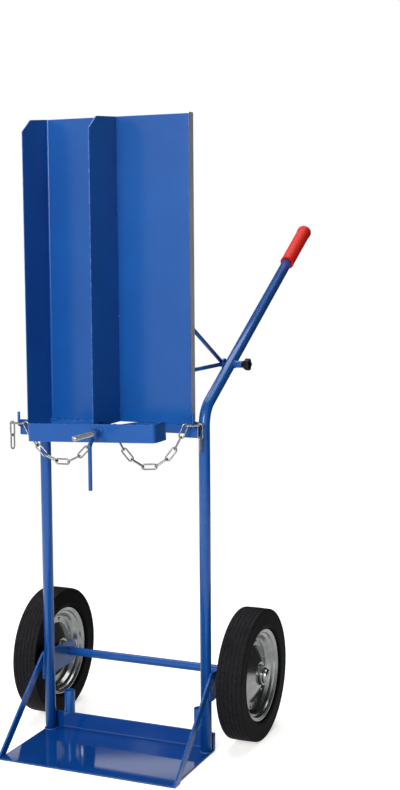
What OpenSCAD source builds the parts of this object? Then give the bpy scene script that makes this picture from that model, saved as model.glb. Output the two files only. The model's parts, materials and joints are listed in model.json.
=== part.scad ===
// Gas cylinder trolley: a two-wheeled steel truck for a pair of slim cylinders.
// X runs across the trolley, Y runs backward and Z up. The origin is on the floor,
// midway between the side tubes and in their plane.

/* [Side tubes] */
// Outer diameter of the bent side tubes
tube_d = 25; // [22:0.5:30]
// Wall of the side tubes
tube_wall = 2; // [1.5:0.5:3.5]
// Distance between the axes of the side tubes
tube_spacing = 400; // [396:1:460]
// Height at which the upright and the handle axes cross
bend_height = 779; // [740:1:860]
// Lean of the handles, back from upright, in degrees
handle_angle = 60; // [45:1:68]
// Radius of the tube bend, on its axis
bend_r = 60; // [45:1:90]
// Length of a handle from the crossing of the axes to the tube's end
handle_len = 788; // [600:1:900]
// Length of a handle grip
grip_len = 163; // [110:1:190]
// Outer diameter of a handle grip
grip_d = 35; // [31:0.5:37]
// Closed end of a handle grip
grip_end = 5; // [3:0.5:10]
// Flare of a handle grip towards its end, on the radius
grip_flare = 1; // [0.5:0.5:2]

/* [Toe plate] */
// Reach of the toe plate in front of the side tubes' plane
plate_front = 213; // [180:1:280]
// Reach of the toe plate behind the side tubes' plane
plate_back = 23; // [20:1:40]
// Thickness of the toe plate
plate_t = 4; // [3:0.5:8]
// Height of the upturned flange at the back of the toe plate
rear_flange_h = 42; // [30:1:70]
// Height of the socket tubes behind the flange
socket_h = 90; // [60:1:140]
// Distance of the socket tubes inboard of the side tubes
socket_inset = 32; // [28:1:80]

/* [Braces and axle] */
// Width of the brace's flat bar
brace_w = 20; // [15:1:30]
// Height at which the brace's axis meets the side tube's axis
brace_top = 182; // [160:1:230]
// Thickness of the braces and the axle brackets
bar_t = 5; // [4:0.5:8]
// Lower edge of the axle brackets at the side tubes
bracket_bottom = 124; // [100:1:140]
// Height of the axle brackets at the side tubes
bracket_h = 66; // [50:1:90]
// Reach of the bracket and the brace's end in front of the tube's axis
bracket_front = 6; // [3:0.5:10]
// Radius of the bracket's eye round the axle
bracket_eye_r = 26; // [18:1:40]
// Distance of the axle behind the side tubes
axle_back = 133; // [110:1:170]
// Diameter of the axle
axle_d = 20; // [16:0.5:22]

/* [Wheels] */
// Outer diameter of the tyres
wheel_d = 305; // [290:1:330]
// Width of the tyres
tyre_w = 60; // [58:1:70]
// Distance between the middle planes of the wheels
track = 520; // [518:1:600]
// Outer diameter of the rim's lip
rim_d = 212; // [206:1:222]
// Width of the rim, lip to lip
rim_w = 52; // [48:1:54]
// Sheet thickness of the rim halves
rim_t = 2.5; // [2:0.25:3]
// Height of the rim's lip above the seat of the tyre
rim_lip = 9; // [6:0.5:12]
// Length of the hub tube
hub_len = 62; // [56:1:64]
// Outer diameter of the hub tube
hub_d = 46; // [43:0.5:48]
// Bore of the hub tube, which holds the bearings
hub_bore = 37; // [34:0.5:39]
// Width of a wheel bearing
bearing_w = 16; // [10:1:20]
// Circle of the rivets and vent holes in the rim's web
web_circle_d = 148; // [144:1:152]
// Diameter of the vent holes in the rim's web
vent_d = 9; // [6:0.5:11]
// Shank of the rivets through the rim's web
rivet_d = 6; // [4:0.5:8]
// Height of the rim's disc at the hub, above the wheel's middle plane
disc_rise = 19; // [10:0.5:22]
// Width of the smooth shoulder on each side of the tread
shoulder_w = 6; // [5:0.5:10]
// Width of the grooves round the tread
groove_w = 2; // [1:0.5:4]
// Depth of the grooves round the tread
groove_depth = 1.5; // [1:0.5:4]

/* [Shield panel] */
// Width of the shield panel
panel_w = 350; // [320:1:366]
// Height of the shield panel
panel_h = 674; // [500:1:800]
// Sheet thickness of the panel
panel_t = 2; // [1.5:0.25:3]
// Inside radius of the panel's bend into its left flange
panel_bend_r = 4; // [2:0.5:8]
// Depth of the left flange in front of the tubes
flange_depth = 110; // [100:1:125]
// Drop of the left flange's lower edge below the panel, beside the cradle bar
flange_drop = 14; // [6:1:18]
// Depth of the centre fin in front of the tubes
fin_depth = 132; // [127:1:145]
// Thickness of the centre fin
fin_t = 3; // [2:0.5:5]
// Fall of the top edge of flange and fin towards the front
top_fall = 6; // [1:0.5:15]
// Length of the cut corner along the top edge
corner_cut = 36; // [20:1:60]
// Height of the cut corner
corner_drop = 28; // [15:1:60]
// Depth of the bare strip behind the panel's right edge
strip_depth = 22; // [12:1:30]
// Thickness of the bare strip
strip_t = 2; // [1:0.25:3]
// Rise of the bare strip above the panel's top edge
strip_rise = 3; // [0:0.5:10]
// Width of the cradle bar under the panel
cradle_h = 20; // [16:1:30]
// Thickness of the cradle bar
cradle_t = 5; // [4:0.5:8]
// Reach of the cradle bar's nose in front of the panel's plane
nose_reach = 50; // [35:1:70]
// Half width of the nose at its tip
nose_half = 24; // [22:1:30]
// Half width of the nose where it leaves the panel
nose_root = 42; // [36:1:60]
// Height of the lugs that join the cradle bar to the side tubes
lug_h = 24; // [18:1:40]
// Thickness of the lugs
lug_t = 8; // [5:0.5:10]
// Overlap of a lug on the cradle bar
lug_overlap = 18; // [10:1:40]

/* [Struts and knobs] */
// Distance of the knob screw from the crossing of the tube axes, along the handle
knob_distance = 180; // [140:1:260]
// Diameter of the strut's rods
strut_d = 9; // [6:0.5:10]
// Height of the upper strut end above the knob screw
strut_up = 110; // [60:1:140]
// Drop of the lower strut end below the knob screw
strut_down = 3; // [0:1:30]
// Inset of the strut ends from the panel's edges
strut_inset = 10; // [8:1:30]
// Diameter of the strut's eye plate
eye_d = 26; // [22:1:36]
// Thickness of the strut's eye plate
eye_t = 5; // [3:0.5:8]
// Diameter of the knob screw
screw_d = 8; // [6:0.5:10]
// Diameter of the star knob over its lobes
knob_d = 29; // [26:1:40]
// Length of the star knob
knob_len = 19; // [14:1:30]
// Length of the spacer boss between the handle and the knob
boss_len = 17; // [8:1:22]
// Diameter of the spacer boss
boss_d = 16; // [13:0.5:20]

/* [Clamp] */
// Diameter of the clamp stud
stud_d = 12; // [10:0.5:14]
// Offset of the stud to the right of the centre fin
stud_x = 14; // [12:0.5:16]
// Reach of the stud in front of the side tubes' plane
stud_reach = 258; // [240:1:300]
// Reach of the clamp bar to the left of the trolley's middle
clamp_left = 162; // [150:1:166]
// Reach of the clamp bar to the right of the trolley's middle
clamp_right = 150; // [130:1:160]
// Height of the clamp bar's section
clamp_h = 40; // [30:1:50]
// Thickness of the clamp bar
clamp_t = 5; // [4:0.5:8]
// Length of the clamp bar's right leg from its front face
clamp_leg = 57; // [40:1:70]
// Straight length of the clamp bar's left return, from its corner to the chain's path
clamp_return = 2; // [1:0.5:4]
// Outside radius of the clamp bar's corners
clamp_corner_r = 11; // [9:0.5:16]
// Height of the stud's hole above the middle of the clamp bar's section
clamp_hole_up = 2; // [0:0.5:3]
// Tilt of the clamp bar on its stud as it hangs, in degrees
clamp_tilt = 2; // [0:0.5:3]
// Length of the clamp nut
nut_len = 24; // [18:1:32]
// Width across the flats of the clamp nut
nut_af = 19; // [17:0.5:24]
// Diameter of the clamp lever's rod
lever_d = 8.5; // [6:0.5:10]
// Forward reach of the lever's crook
lever_crook = 22; // [12:1:40]
// Drop of the lever's crook below the stud's axis
lever_crook_drop = 25; // [20:1:40]
// Drop of the lever's end below the stud's axis
lever_drop = 121; // [80:1:160]

/* [Chain] */
// Wire diameter of the chain
wire_d = 3.5; // [3:0.25:4]
// Inside length of a chain link
link_in = 29; // [27:0.5:34]
// Inside width of a chain link
link_w = 7.5; // [7.25:0.25:9]
// Number of links that hang in each half of the chain, an odd number
half_links = 9; // [7:2:11]
// Distance of the chain's centre link behind the clamp bar
chain_setback = 34; // [28:1:45]
// Diameter of the hook's rod
prong_d = 6; // [5:0.25:6]
// Height of the hook's prong above the chain link on it
prong_rise = 26; // [12:1:40]
// Outward reach of the hook's prong from the edge it is welded to
hook_out = 19; // [17:1:24]
// Forward reach of the hook's prong from its plate
hook_forward = 13; // [12.5:0.5:20]
// Width of the hook's plate
hook_plate_w = 24; // [18:1:30]
// Height of the hook's plate
hook_plate_h = 34; // [30:1:50]

/* [Clearances] */
// Radial clearance where a piece is pressed on, welded in or runs
fit = 0.05; // [0.02:0.01:0.1]
// Free gap between pieces that move past each other
free_gap = 0.3; // [0.2:0.05:0.6]

/* [Hidden] */
$fn = 64;

BLUE = "#2f5fa8";
ZINC = "#b9bcbd";
BLACK = "#1c1d20";
RED = "#e23a2c";

// Overshoot of a cutting shape past the face it cuts
over = 1;

// Side tubes and handles
tube_r = tube_d / 2;
tube_x = tube_spacing / 2;
outer_x = tube_x + tube_r;
bend_start = bend_height - bend_r * tan(handle_angle / 2);
// The bend laps into the straight ends by this angle, and is drawn thinner by this much
bend_lap = 1.5;
bend_thin = 0.05;
function handle_point(s) = [0, s * sin(handle_angle), bend_height + s * cos(handle_angle)];

// Panel and cradle: the lugs end just under the bend, and the panel stands on the cradle bar
lug_top = bend_start - 1;
panel_bottom = bend_start + 4;
panel_top = panel_bottom + panel_h;
panel_back_y = -tube_r;
panel_face_y = panel_back_y - panel_t;
flange_front_y = panel_back_y - flange_depth;
fin_front_y = panel_back_y - fin_depth;
panel_x = panel_w / 2;
cradle_z = panel_bottom - cradle_h;
cradle_face_y = panel_back_y - cradle_t;
// The flange's dropped edge ends short of the cradle bar and of the bend
flange_back_y = min(cradle_face_y, panel_back_y - panel_bend_r - panel_t) - 2;
nose_face_y = cradle_face_y - nose_reach;

// Axle and wheels: the wheels stand at the track, or further out where the brackets need the room
axle_z = wheel_d / 2;
bracket_x = outer_x + bar_t;
bearing_inset = 0.5;
washer_t = 2;
washer_d = axle_d + 13;
bearing_end = hub_len / 2 - bearing_inset;
least_spacer = 8.7;
least_hub_x = bracket_x + least_spacer + washer_t + free_gap + bearing_end;
least_tyre_x = bracket_x + least_spacer + tyre_w / 2;
wheel_x = max(track / 2, least_hub_x, least_tyre_x);
washer_inner_x = wheel_x - bearing_end - free_gap - washer_t;
washer_outer_x = wheel_x + bearing_end + free_gap;
cap_len = 9;
axle_half = washer_outer_x + washer_t + cap_len / 2;

// Knob screw: the spot on the handle that it passes through
knob_at = handle_point(knob_distance);
eye_x = tube_x - tube_r - eye_t;
strut_nut_t = 6;
strut_nut_af = screw_d + 5;
boss_x = outer_x + boss_len;
knob_bore_len = 10;

// Clamp
stud_z = panel_bottom - 7;
clamp_back_y = fin_front_y - over;
clamp_face_y = clamp_back_y - clamp_t;
clamp_washer_t = 2.5;
clamp_washer_d = 26;
nut_back_y = clamp_face_y - clamp_washer_t;
nut_mid_y = nut_back_y - nut_len / 2;
lever_bend_r = 12;

// Chain: flat links turn on their end wires, upright links hang between the wires they hold
link_pitch_flat = link_in + wire_d;
link_hold = link_in / 2 - wire_d / 2 - free_gap;
link_pitch_upright = 2 * link_hold;
link_bow_r = (link_w + wire_d) / 2;
link_bow_x = (link_in - link_w) / 2;
chain_y = clamp_back_y + chain_setback;
chain_z = stud_z + stud_d / 2 + wire_d / 2 + free_gap;
hook_plate_t = 5;
hook_rod_z = chain_z - wire_d / 2 - prong_d / 2 - fit;
left_plate_face_y = flange_front_y + 8;
right_plate_face_y = cradle_face_y - hook_plate_t;
left_prong = [-panel_x - hook_out, left_plate_face_y - hook_forward];
right_prong = [panel_x + hook_out - 6, right_plate_face_y - hook_forward];

// Each half runs straight from the round end of the centre link towards the prong, and
// ends on the link that lies round the prong
left_bow = [stud_x - link_bow_x, chain_y];
right_bow = [stud_x + link_bow_x, chain_y];
left_way = (left_prong - left_bow) / norm(left_prong - left_bow);
right_way = (right_prong - right_bow) / norm(right_prong - right_bow);
left_span = norm(left_prong - left_bow) - link_bow_r - link_pitch_flat / 2;
right_span = norm(right_prong - right_bow) - link_bow_r - link_pitch_flat / 2;

// A hanging chain: the tangent of each link's slope grows in equal steps along the chain,
// which begins and ends with an upright link
function link_slope(c, i, n) = atan(c * (i - (n - 1) / 2));
function link_step(i) = i % 2 == 0 ? link_pitch_upright : link_pitch_flat;
function chain_run(c, n, last, i = 0) =
    i >= last ? 0 : link_step(i) * cos(link_slope(c, i, n)) + chain_run(c, n, last, i + 1);
function chain_rise(c, n, last, i = 0) =
    i >= last ? 0 : link_step(i) * sin(link_slope(c, i, n)) + chain_rise(c, n, last, i + 1);
// Sag that makes the chain's run equal its span, by halving the interval
function solve_sag(span, n, low = 0.001, high = 3, k = 30) =
    k == 0 ? (low + high) / 2
    : chain_run((low + high) / 2, n, n) > span
        ? solve_sag(span, n, (low + high) / 2, high, k - 1)
        : solve_sag(span, n, low, (low + high) / 2, k - 1);
tail_twist = 15;

// Unit normal to the left of the step from a to b
function left_of(a, b) = [a.y - b.y, b.x - a.x] / norm(b - a);
// Corner i of a path moved sideways by d, so that its legs stay parallel
function moved(path, i, d) =
    i == 0 ? path[0] + d * left_of(path[0], path[1])
    : i == len(path) - 1 ? path[i] + d * left_of(path[i - 1], path[i])
    : let (
        n1 = left_of(path[i - 1], path[i]),
        n2 = left_of(path[i], path[i + 1])
    ) path[i] + d * (n1 + n2) / (1 + n1 * n2);
function strip_outline(path, t) = concat(
    [for (i = [0 : len(path) - 1]) moved(path, i, t / 2)],
    [for (i = [len(path) - 1 : -1 : 0]) moved(path, i, -t / 2)]);

// A plate drawn in Y and Z that starts at x and is t thick
module side_plate(x, t) {
    translate([x, 0, 0])
        rotate([90, 0, 90])
            linear_extrude(t)
                children();
}

// A solid of revolution about a line along X, drawn as radius and distance from x
module turned_on_x(x, y, z) {
    translate([x, y, z])
        rotate([0, 90, 0])
            rotate_extrude()
                children();
}

// A round rod through points, with ball corners
module rod(points, d) {
    for (i = [0 : len(points) - 2]) {
        step = points[i + 1] - points[i];
        translate(points[i])
            rotate([0, acos(step.z / norm(step)), atan2(step.y, step.x)])
                cylinder(d = d, h = norm(step));
    }
    for (i = [1 : 1 : len(points) - 2])
        translate(points[i])
            sphere(d = d + 0.1);
}

// A round bar that rises along Z from z0 to the crossing z1, then leans back for length l
module bent_bar(d, z0, z1, r, lean, l) {
    tangent = r * tan(lean / 2);
    translate([0, 0, z0])
        cylinder(d = d, h = z1 - tangent - z0);
    translate([0, r, z1 - tangent])
        rotate([90, 0, -90])
            rotate([0, 0, -bend_lap])
                rotate_extrude(angle = lean + 2 * bend_lap)
                    translate([r, 0])
                        circle(d = d - 2 * bend_thin);
    translate([0, tangent * sin(lean), z1 + tangent * cos(lean)])
        rotate([-lean, 0, 0])
            cylinder(d = d, h = l - tangent);
}

// The side tube's path as a solid bar of diameter d, longer by extra at both ends
module tube_bar(d, extra = 0) {
    bent_bar(d, plate_t - extra, bend_height, bend_r, handle_angle, handle_len + extra);
}

module screw_hole(x, d, h) {
    translate([x, knob_at.y, knob_at.z])
        rotate([0, 90, 0])
            cylinder(d = d, h = h);
}

module side_tube(side) {
    color(BLUE)
        difference() {
            translate([side * tube_x, 0, 0])
                difference() {
                    tube_bar(tube_d);
                    tube_bar(tube_d - 2 * tube_wall, over);
                }
            screw_hole(side * tube_x - tube_d, screw_d + 2 * free_gap, 2 * tube_d);
        }
}

module grip(side) {
    color(RED)
        translate([side * tube_x, 0, 0])
            translate(handle_point(handle_len + grip_end - grip_len))
                rotate([-handle_angle, 0, 0])
                    difference() {
                        rotate_extrude()
                            polygon([[0, 0], [grip_d / 2 - 1, 0], [grip_d / 2, 1],
                                [grip_d / 2, grip_len - 24], [grip_d / 2 + grip_flare, grip_len - 14],
                                [grip_d / 2 + grip_flare, grip_len - 5], [grip_d / 2 - 1, grip_len - 1.5],
                                [grip_d / 2 - 5, grip_len], [0, grip_len]]);
                        translate([0, 0, -over])
                            cylinder(d = tube_d + 2 * fit, h = grip_len - grip_end + over);
                    }
}

module toe_plate() {
    tab_len = plate_back - plate_t - tube_r;
    color(BLUE)
        union() {
            translate([-outer_x, -plate_front, 0])
                cube([2 * outer_x, plate_front + plate_back, plate_t]);
            translate([-outer_x, plate_back - plate_t, 0])
                cube([2 * outer_x, plate_t, rear_flange_h]);
            for (x = [-outer_x, outer_x - plate_t])
                translate([x, tube_r, 0])
                    cube([plate_t, tab_len + over, rear_flange_h]);
        }
}

module brace(side) {
    foot = [-plate_front + brace_w / 2, 0];
    head = [0, brace_top];
    run = head - foot;
    color(BLUE)
        side_plate(side > 0 ? outer_x : -outer_x - bar_t, bar_t)
            intersection() {
                translate(foot)
                    rotate(atan2(run.y, run.x))
                        translate([-brace_w, -brace_w / 2])
                            square([norm(run) + 2 * brace_w, brace_w]);
                translate([-plate_front, 0])
                    square([plate_front - bracket_front, brace_top + brace_w]);
            }
}

module axle_bracket(side) {
    x0 = side > 0 ? outer_x : -outer_x - bar_t;
    color(BLUE)
        difference() {
            union() {
                side_plate(x0, bar_t)
                    polygon([[-bracket_front, bracket_bottom],
                        [-bracket_front, bracket_bottom + bracket_h],
                        [axle_back + 0.3 * bracket_eye_r, axle_z + 0.9 * bracket_eye_r],
                        [axle_back + 0.3 * bracket_eye_r, axle_z - 0.9 * bracket_eye_r]]);
                side_plate(x0, bar_t)
                    translate([axle_back, axle_z])
                        circle(r = bracket_eye_r);
            }
            side_plate(x0 - over, bar_t + 2 * over)
                translate([axle_back, axle_z])
                    circle(d = axle_d + 2 * fit);
        }
}

module rear_socket(side) {
    color(BLUE)
        translate([side * (tube_x - socket_inset), plate_back + tube_r, plate_t])
            difference() {
                cylinder(d = tube_d, h = socket_h - plate_t);
                translate([0, 0, -over])
                    cylinder(d = tube_d - 2 * tube_wall, h = socket_h + 2 * over);
            }
}

module axle() {
    color(BLUE)
        translate([-axle_half, axle_back, axle_z])
            rotate([0, 90, 0])
                cylinder(d = axle_d, h = 2 * axle_half);
}

// A ring on the axle, from x over length l, and its mirror image on the other side
module axle_rings(x, l, d) {
    for (side = [-1, 1])
        turned_on_x(side > 0 ? x : -x - l, axle_back, axle_z)
            translate([axle_d / 2 + fit, 0])
                square([d / 2 - axle_d / 2 - fit, l]);
}

module axle_spacers() {
    color(BLACK)
        axle_rings(bracket_x, washer_inner_x - bracket_x, washer_d);
}

module axle_washers() {
    color(ZINC)
        union() {
            axle_rings(washer_inner_x, washer_t, washer_d);
            axle_rings(washer_outer_x, washer_t, washer_d);
        }
}

// Pressed caps with a domed end, pushed on the ends of the axle
module axle_caps() {
    cap_r = washer_d / 2;
    bore_r = axle_d / 2 + fit;
    bore_l = axle_half - washer_outer_x - washer_t + fit;
    color(ZINC)
        for (side = [-1, 1])
            translate([side * (washer_outer_x + washer_t), axle_back, axle_z])
                rotate([0, side * 90, 0])
                    difference() {
                        rotate_extrude()
                            polygon([[0, 0], [cap_r, 0], [cap_r, cap_len * 0.55],
                                [cap_r - 1, cap_len * 0.8], [cap_r - 3, cap_len], [0, cap_len]]);
                        translate([0, 0, -over])
                            cylinder(r = bore_r, h = bore_l + over);
                    }
}

module panel_lug(side) {
    x0 = panel_x - lug_overlap;
    color(BLUE)
        difference() {
            translate([side > 0 ? x0 : -tube_x, panel_back_y, lug_top - lug_h])
                cube([tube_x - x0, lug_t, lug_h]);
            translate([side * tube_x, 0, 0])
                tube_bar(tube_d + 2 * fit);
        }
}

module cradle_bar() {
    path = [[-panel_x, 0], [-nose_root, 0], [-nose_half, -nose_reach], [nose_half, -nose_reach],
        [nose_root, 0], [panel_x, 0]];
    color(BLUE)
        translate([0, panel_back_y - cradle_t / 2, cradle_z])
            linear_extrude(cradle_h)
                polygon(strip_outline(path, cradle_t));
}

// Outline in Y and Z of an upright wing that reaches forward to front_y from back_y
module wing_outline(front_y, back_y) {
    polygon([[back_y, panel_bottom], [back_y, panel_top], [front_y + corner_cut, panel_top - top_fall],
        [front_y, panel_top - top_fall - corner_drop], [front_y, panel_bottom]]);
}

module shield_panel() {
    outer_r = panel_bend_r + panel_t;
    color(BLUE)
        union() {
            translate([-panel_x + outer_r, panel_face_y, panel_bottom])
                cube([2 * panel_x - outer_r, panel_t, panel_h]);
            translate([-panel_x + outer_r, panel_back_y - outer_r, panel_bottom])
                rotate([0, 0, 90])
                    rotate_extrude(angle = 90)
                        translate([panel_bend_r, 0])
                            square([panel_t, panel_h]);
            side_plate(-panel_x, panel_t)
                union() {
                    wing_outline(flange_front_y, panel_back_y - outer_r);
                    polygon([[flange_front_y, panel_bottom],
                        [flange_front_y + flange_drop, panel_bottom - flange_drop],
                        [flange_back_y, panel_bottom - flange_drop], [flange_back_y, panel_bottom + over],
                        [flange_front_y, panel_bottom + over]]);
                }
        }
}

// The fin has a notch in its lower edge where the chain passes to the stud
module centre_fin() {
    notch_w = 2 * link_bow_r + wire_d + 5;
    notch_top = chain_z + link_bow_r + wire_d / 2 + free_gap;
    color(BLUE)
        difference() {
            side_plate(-fin_t / 2, fin_t)
                wing_outline(fin_front_y, panel_face_y);
            translate([-fin_t, chain_y - notch_w / 2, panel_bottom - over])
                cube([2 * fin_t, notch_w, notch_top - panel_bottom + over]);
        }
}

module edge_strip() {
    color(ZINC)
        translate([panel_x - strip_t, panel_back_y, panel_bottom])
            cube([strip_t, strip_depth, panel_h + strip_rise]);
}

// Two rods that run from the eye on the handle to the panel's back
module strut(side) {
    rod_x = eye_x + eye_t - strut_d / 2 - free_gap;
    eye = [rod_x, knob_at.y, knob_at.z];
    ends = [for (dz = [strut_up, -strut_down])
        [panel_x - strut_inset, panel_back_y - strut_d, knob_at.z + dz]];
    color(BLUE)
        mirror([side > 0 ? 0 : 1, 0, 0])
            difference() {
                union() {
                    for (end = ends) {
                        start = eye + (end - eye) / norm(end - eye) * (eye_d / 2 - 2);
                        rod([start, end], strut_d);
                    }
                    screw_hole(eye_x, eye_d, eye_t);
                }
                screw_hole(eye_x - over, screw_d + 2 * free_gap, eye_t + 2 * over);
                translate([0, panel_back_y - 3 * strut_d, panel_bottom])
                    cube([panel_w, 3 * strut_d, panel_h]);
            }
}

module strut_nut(side) {
    color(BLUE)
        mirror([side > 0 ? 0 : 1, 0, 0])
            translate([eye_x - strut_nut_t, knob_at.y, knob_at.z])
                rotate([0, 90, 0])
                    difference() {
                        cylinder(d = strut_nut_af / cos(30), h = strut_nut_t, $fn = 6);
                        translate([0, 0, -over])
                            cylinder(d = screw_d + 2 * fit, h = strut_nut_t + 2 * over);
                    }
}

module knob_boss(side) {
    color(BLUE)
        mirror([side > 0 ? 0 : 1, 0, 0])
            difference() {
                screw_hole(tube_x + tube_r / 2, boss_d, boss_len + tube_r / 2);
                screw_hole(tube_x, screw_d + 2 * free_gap, tube_d + boss_len);
                translate([tube_x, 0, 0])
                    tube_bar(tube_d + 2 * fit);
            }
}

module knob(side) {
    lobes = 5;
    lobe_d = knob_d * 0.36;
    color(BLACK)
        mirror([side > 0 ? 0 : 1, 0, 0])
            translate([boss_x + free_gap, knob_at.y, knob_at.z])
                rotate([0, 90, 0])
                    difference() {
                        union() {
                            cylinder(d = boss_d, h = knob_len / 3);
                            translate([0, 0, knob_len / 3])
                                linear_extrude(knob_len * 2 / 3)
                                    union() {
                                        circle(d = knob_d - lobe_d * 0.9);
                                        for (i = [0 : lobes - 1])
                                            rotate(360 / lobes * i)
                                                translate([(knob_d - lobe_d) / 2, 0])
                                                    circle(d = lobe_d);
                                    }
                        }
                        translate([0, 0, -over])
                            cylinder(d = screw_d, h = knob_bore_len + over);
                    }
}

module knob_screw(side) {
    x0 = eye_x - strut_nut_t - 3;
    color(ZINC)
        mirror([side > 0 ? 0 : 1, 0, 0])
            screw_hole(x0, screw_d, boss_x + free_gap + knob_bore_len - x0);
}

// Plate, forward rod and upright prong that a chain link lies on
module chain_hook(prong, plate_y, plate_x) {
    color(BLUE)
        union() {
            translate([plate_x, plate_y, hook_rod_z - hook_plate_h * 0.65])
                cube([hook_plate_w, hook_plate_t, hook_plate_h]);
            rod([[prong.x, plate_y + hook_plate_t / 2, hook_rod_z], [prong.x, prong.y, hook_rod_z],
                [prong.x, prong.y, chain_z + prong_rise]], prong_d);
        }
}

module chain_hook_left() {
    chain_hook(left_prong, left_plate_face_y, -panel_x - hook_plate_w);
}

module chain_hook_right() {
    chain_hook(right_prong, right_plate_face_y, right_prong.x + 6 - hook_plate_w);
}

module clamp_stud() {
    color(ZINC)
        translate([stud_x, nose_face_y, stud_z])
            rotate([90, 0, 0])
                difference() {
                    cylinder(d = stud_d, h = stud_reach + nose_face_y);
                    translate([0, 0, stud_reach + nose_face_y])
                        rotate_extrude()
                            polygon([[stud_d / 2 - 1.5, 0], [stud_d / 2 + over, -2.5],
                                [stud_d / 2 + over, 0]]);
                }
}

// A flat bar bent back at both ends, further on the right, and hung on the stud by a hole
module clamp_bar() {
    left = -clamp_left - stud_x;
    right = clamp_right - stud_x;
    r = clamp_corner_r;
    color(BLUE)
        translate([stud_x, clamp_face_y, stud_z])
            rotate([0, -clamp_tilt, 0])
                translate([0, 0, -clamp_h / 2 - clamp_hole_up])
                    difference() {
                        union() {
                            translate([left + r, 0, 0])
                                cube([right - left - 2 * r, clamp_t, clamp_h]);
                            for (corner = [[left + r, 180], [right - r, 270]])
                                translate([corner.x, r, 0])
                                    rotate([0, 0, corner.y])
                                        rotate_extrude(angle = 90)
                                            translate([r - clamp_t, 0])
                                                square([clamp_t, clamp_h]);
                            for (leg = [[left, r + clamp_return], [right - clamp_t, clamp_leg]])
                                side_plate(leg.x, clamp_t)
                                    translate([r, 0])
                                        square([leg.y - r, clamp_h]);
                        }
                        translate([0, clamp_t + over, clamp_h / 2 + clamp_hole_up])
                            rotate([90, 0, 0])
                                cylinder(d = stud_d + 1, h = clamp_t + 2 * over);
                    }
}

module clamp_washer() {
    color(BLUE)
        translate([stud_x, clamp_face_y, stud_z])
            rotate([90, 0, 0])
                difference() {
                    cylinder(d = clamp_washer_d, h = clamp_washer_t);
                    translate([0, 0, -over])
                        cylinder(d = stud_d + 1, h = clamp_washer_t + 2 * over);
                }
}

module clamp_nut() {
    color(BLUE)
        translate([stud_x, nut_back_y, stud_z])
            rotate([90, 0, 0])
                difference() {
                    cylinder(d = nut_af / cos(30), h = nut_len, $fn = 6);
                    translate([0, 0, -over])
                        cylinder(d = stud_d + 2 * fit, h = nut_len + 2 * over);
                }
}

// A bent rod welded to the flat under the nut
module clamp_lever() {
    lean = atan2(lever_crook, lever_crook_drop);
    color(BLUE)
        translate([stud_x, nut_mid_y - lever_crook, stud_z])
            intersection() {
                bent_bar(lever_d, -lever_drop, -lever_crook_drop, lever_bend_r, lean,
                    norm([lever_crook, lever_crook_drop]));
                translate([-nut_af, -nut_af, -lever_drop - over])
                    cube([2 * nut_af, lever_crook + 2 * nut_af, lever_drop + over - nut_af / 2]);
            }
}

// One oval link of round wire, flat in X and Y with its length along X
module chain_link() {
    for (y = [-link_bow_r, link_bow_r])
        translate([-link_bow_x, y, 0])
            rotate([0, 90, 0])
                cylinder(d = wire_d, h = 2 * link_bow_x);
    for (end = [0, 180])
        rotate([0, 0, end])
            translate([link_bow_x, 0, 0])
                rotate([0, 0, -90])
                    rotate_extrude(angle = 180)
                        translate([link_bow_r, 0])
                            circle(d = wire_d);
}

// The links of one half, each where the links before it end
module chain_half(bow, way, span) {
    n = half_links;
    c = solve_sag(span, n);
    color(ZINC)
        for (i = [0 : n - 1]) {
            slope = link_slope(c, i, n);
            reach = link_bow_r + chain_run(c, n, i) + link_step(i) / 2 * cos(slope);
            rise = chain_rise(c, n, i) + link_step(i) / 2 * sin(slope);
            translate([bow.x + way.x * reach, bow.y + way.y * reach, chain_z + rise])
                rotate([0, 0, atan2(way.y, way.x)])
                    rotate([0, -slope, 0])
                        rotate([i % 2 == 0 ? 90 : 0, 0, 0])
                            chain_link();
        }
}

module chain_left() {
    chain_half(left_bow, left_way, left_span);
}

module chain_right() {
    chain_half(right_bow, right_way, right_span);
}

module chain_centre_link() {
    color(ZINC)
        translate([stud_x, chain_y, chain_z])
            chain_link();
}

// The two links that lie on the hooks
module chain_end_links() {
    color(ZINC)
        for (end = [[left_prong, left_way], [right_prong, right_way]]) {
            translate([end[0].x, end[0].y, chain_z])
                rotate([0, 0, atan2(end[1].y, end[1].x)])
                    chain_link();
        }
}

// Two spare links that hang from the outer end of the link on the prong
module chain_tail(prong, way) {
    tip = prong + way * link_pitch_flat / 2;
    color(ZINC)
        translate([tip.x, tip.y, chain_z])
            rotate([0, 0, atan2(way.y, way.x) - tail_twist])
                for (i = [0, 1])
                    translate([0, 0, -link_hold - i * (link_pitch_flat / 2 + link_hold)])
                        rotate([0, 90, 0])
                            rotate([i == 0 ? 90 : 0, 0, 0])
                                chain_link();
}

module chain_tail_left() {
    chain_tail(left_prong, left_way);
}

module chain_tail_right() {
    chain_tail(right_prong, right_way);
}

// Half of the rim's section, as distance from the middle plane and radius
rim_lip_r = rim_d / 2;
rim_seat_r = rim_lip_r - rim_lip;
web_out_r = web_circle_d / 2 + 9;
web_in_r = web_circle_d / 2 - 9;
function rim_path() = [
    [hub_d / 2 + fit, disc_rise], [hub_d / 2 + 6, disc_rise], [web_in_r, rim_t / 2], [web_out_r, rim_t / 2],
    [web_out_r + 5, 4], [rim_seat_r - 2, rim_w / 2 - 7], [rim_lip_r - 3, rim_w / 2 - 2.5],
    [rim_lip_r, rim_w / 2 - rim_t / 2]];

module rim_half(side, facing) {
    color(ZINC)
        translate([side * wheel_x, axle_back, axle_z])
            rotate([0, facing * 90, 0])
                difference() {
                    rotate_extrude()
                        polygon(strip_outline(rim_path(), rim_t));
                    for (i = [0 : 5])
                        rotate([0, 0, facing * (60 * i + 16)])
                            translate([web_circle_d / 2, 0, -over])
                                cylinder(d = i % 2 == 0 ? vent_d : rivet_d + 2 * fit, h = rim_t + 2 * over);
                }
}

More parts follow.
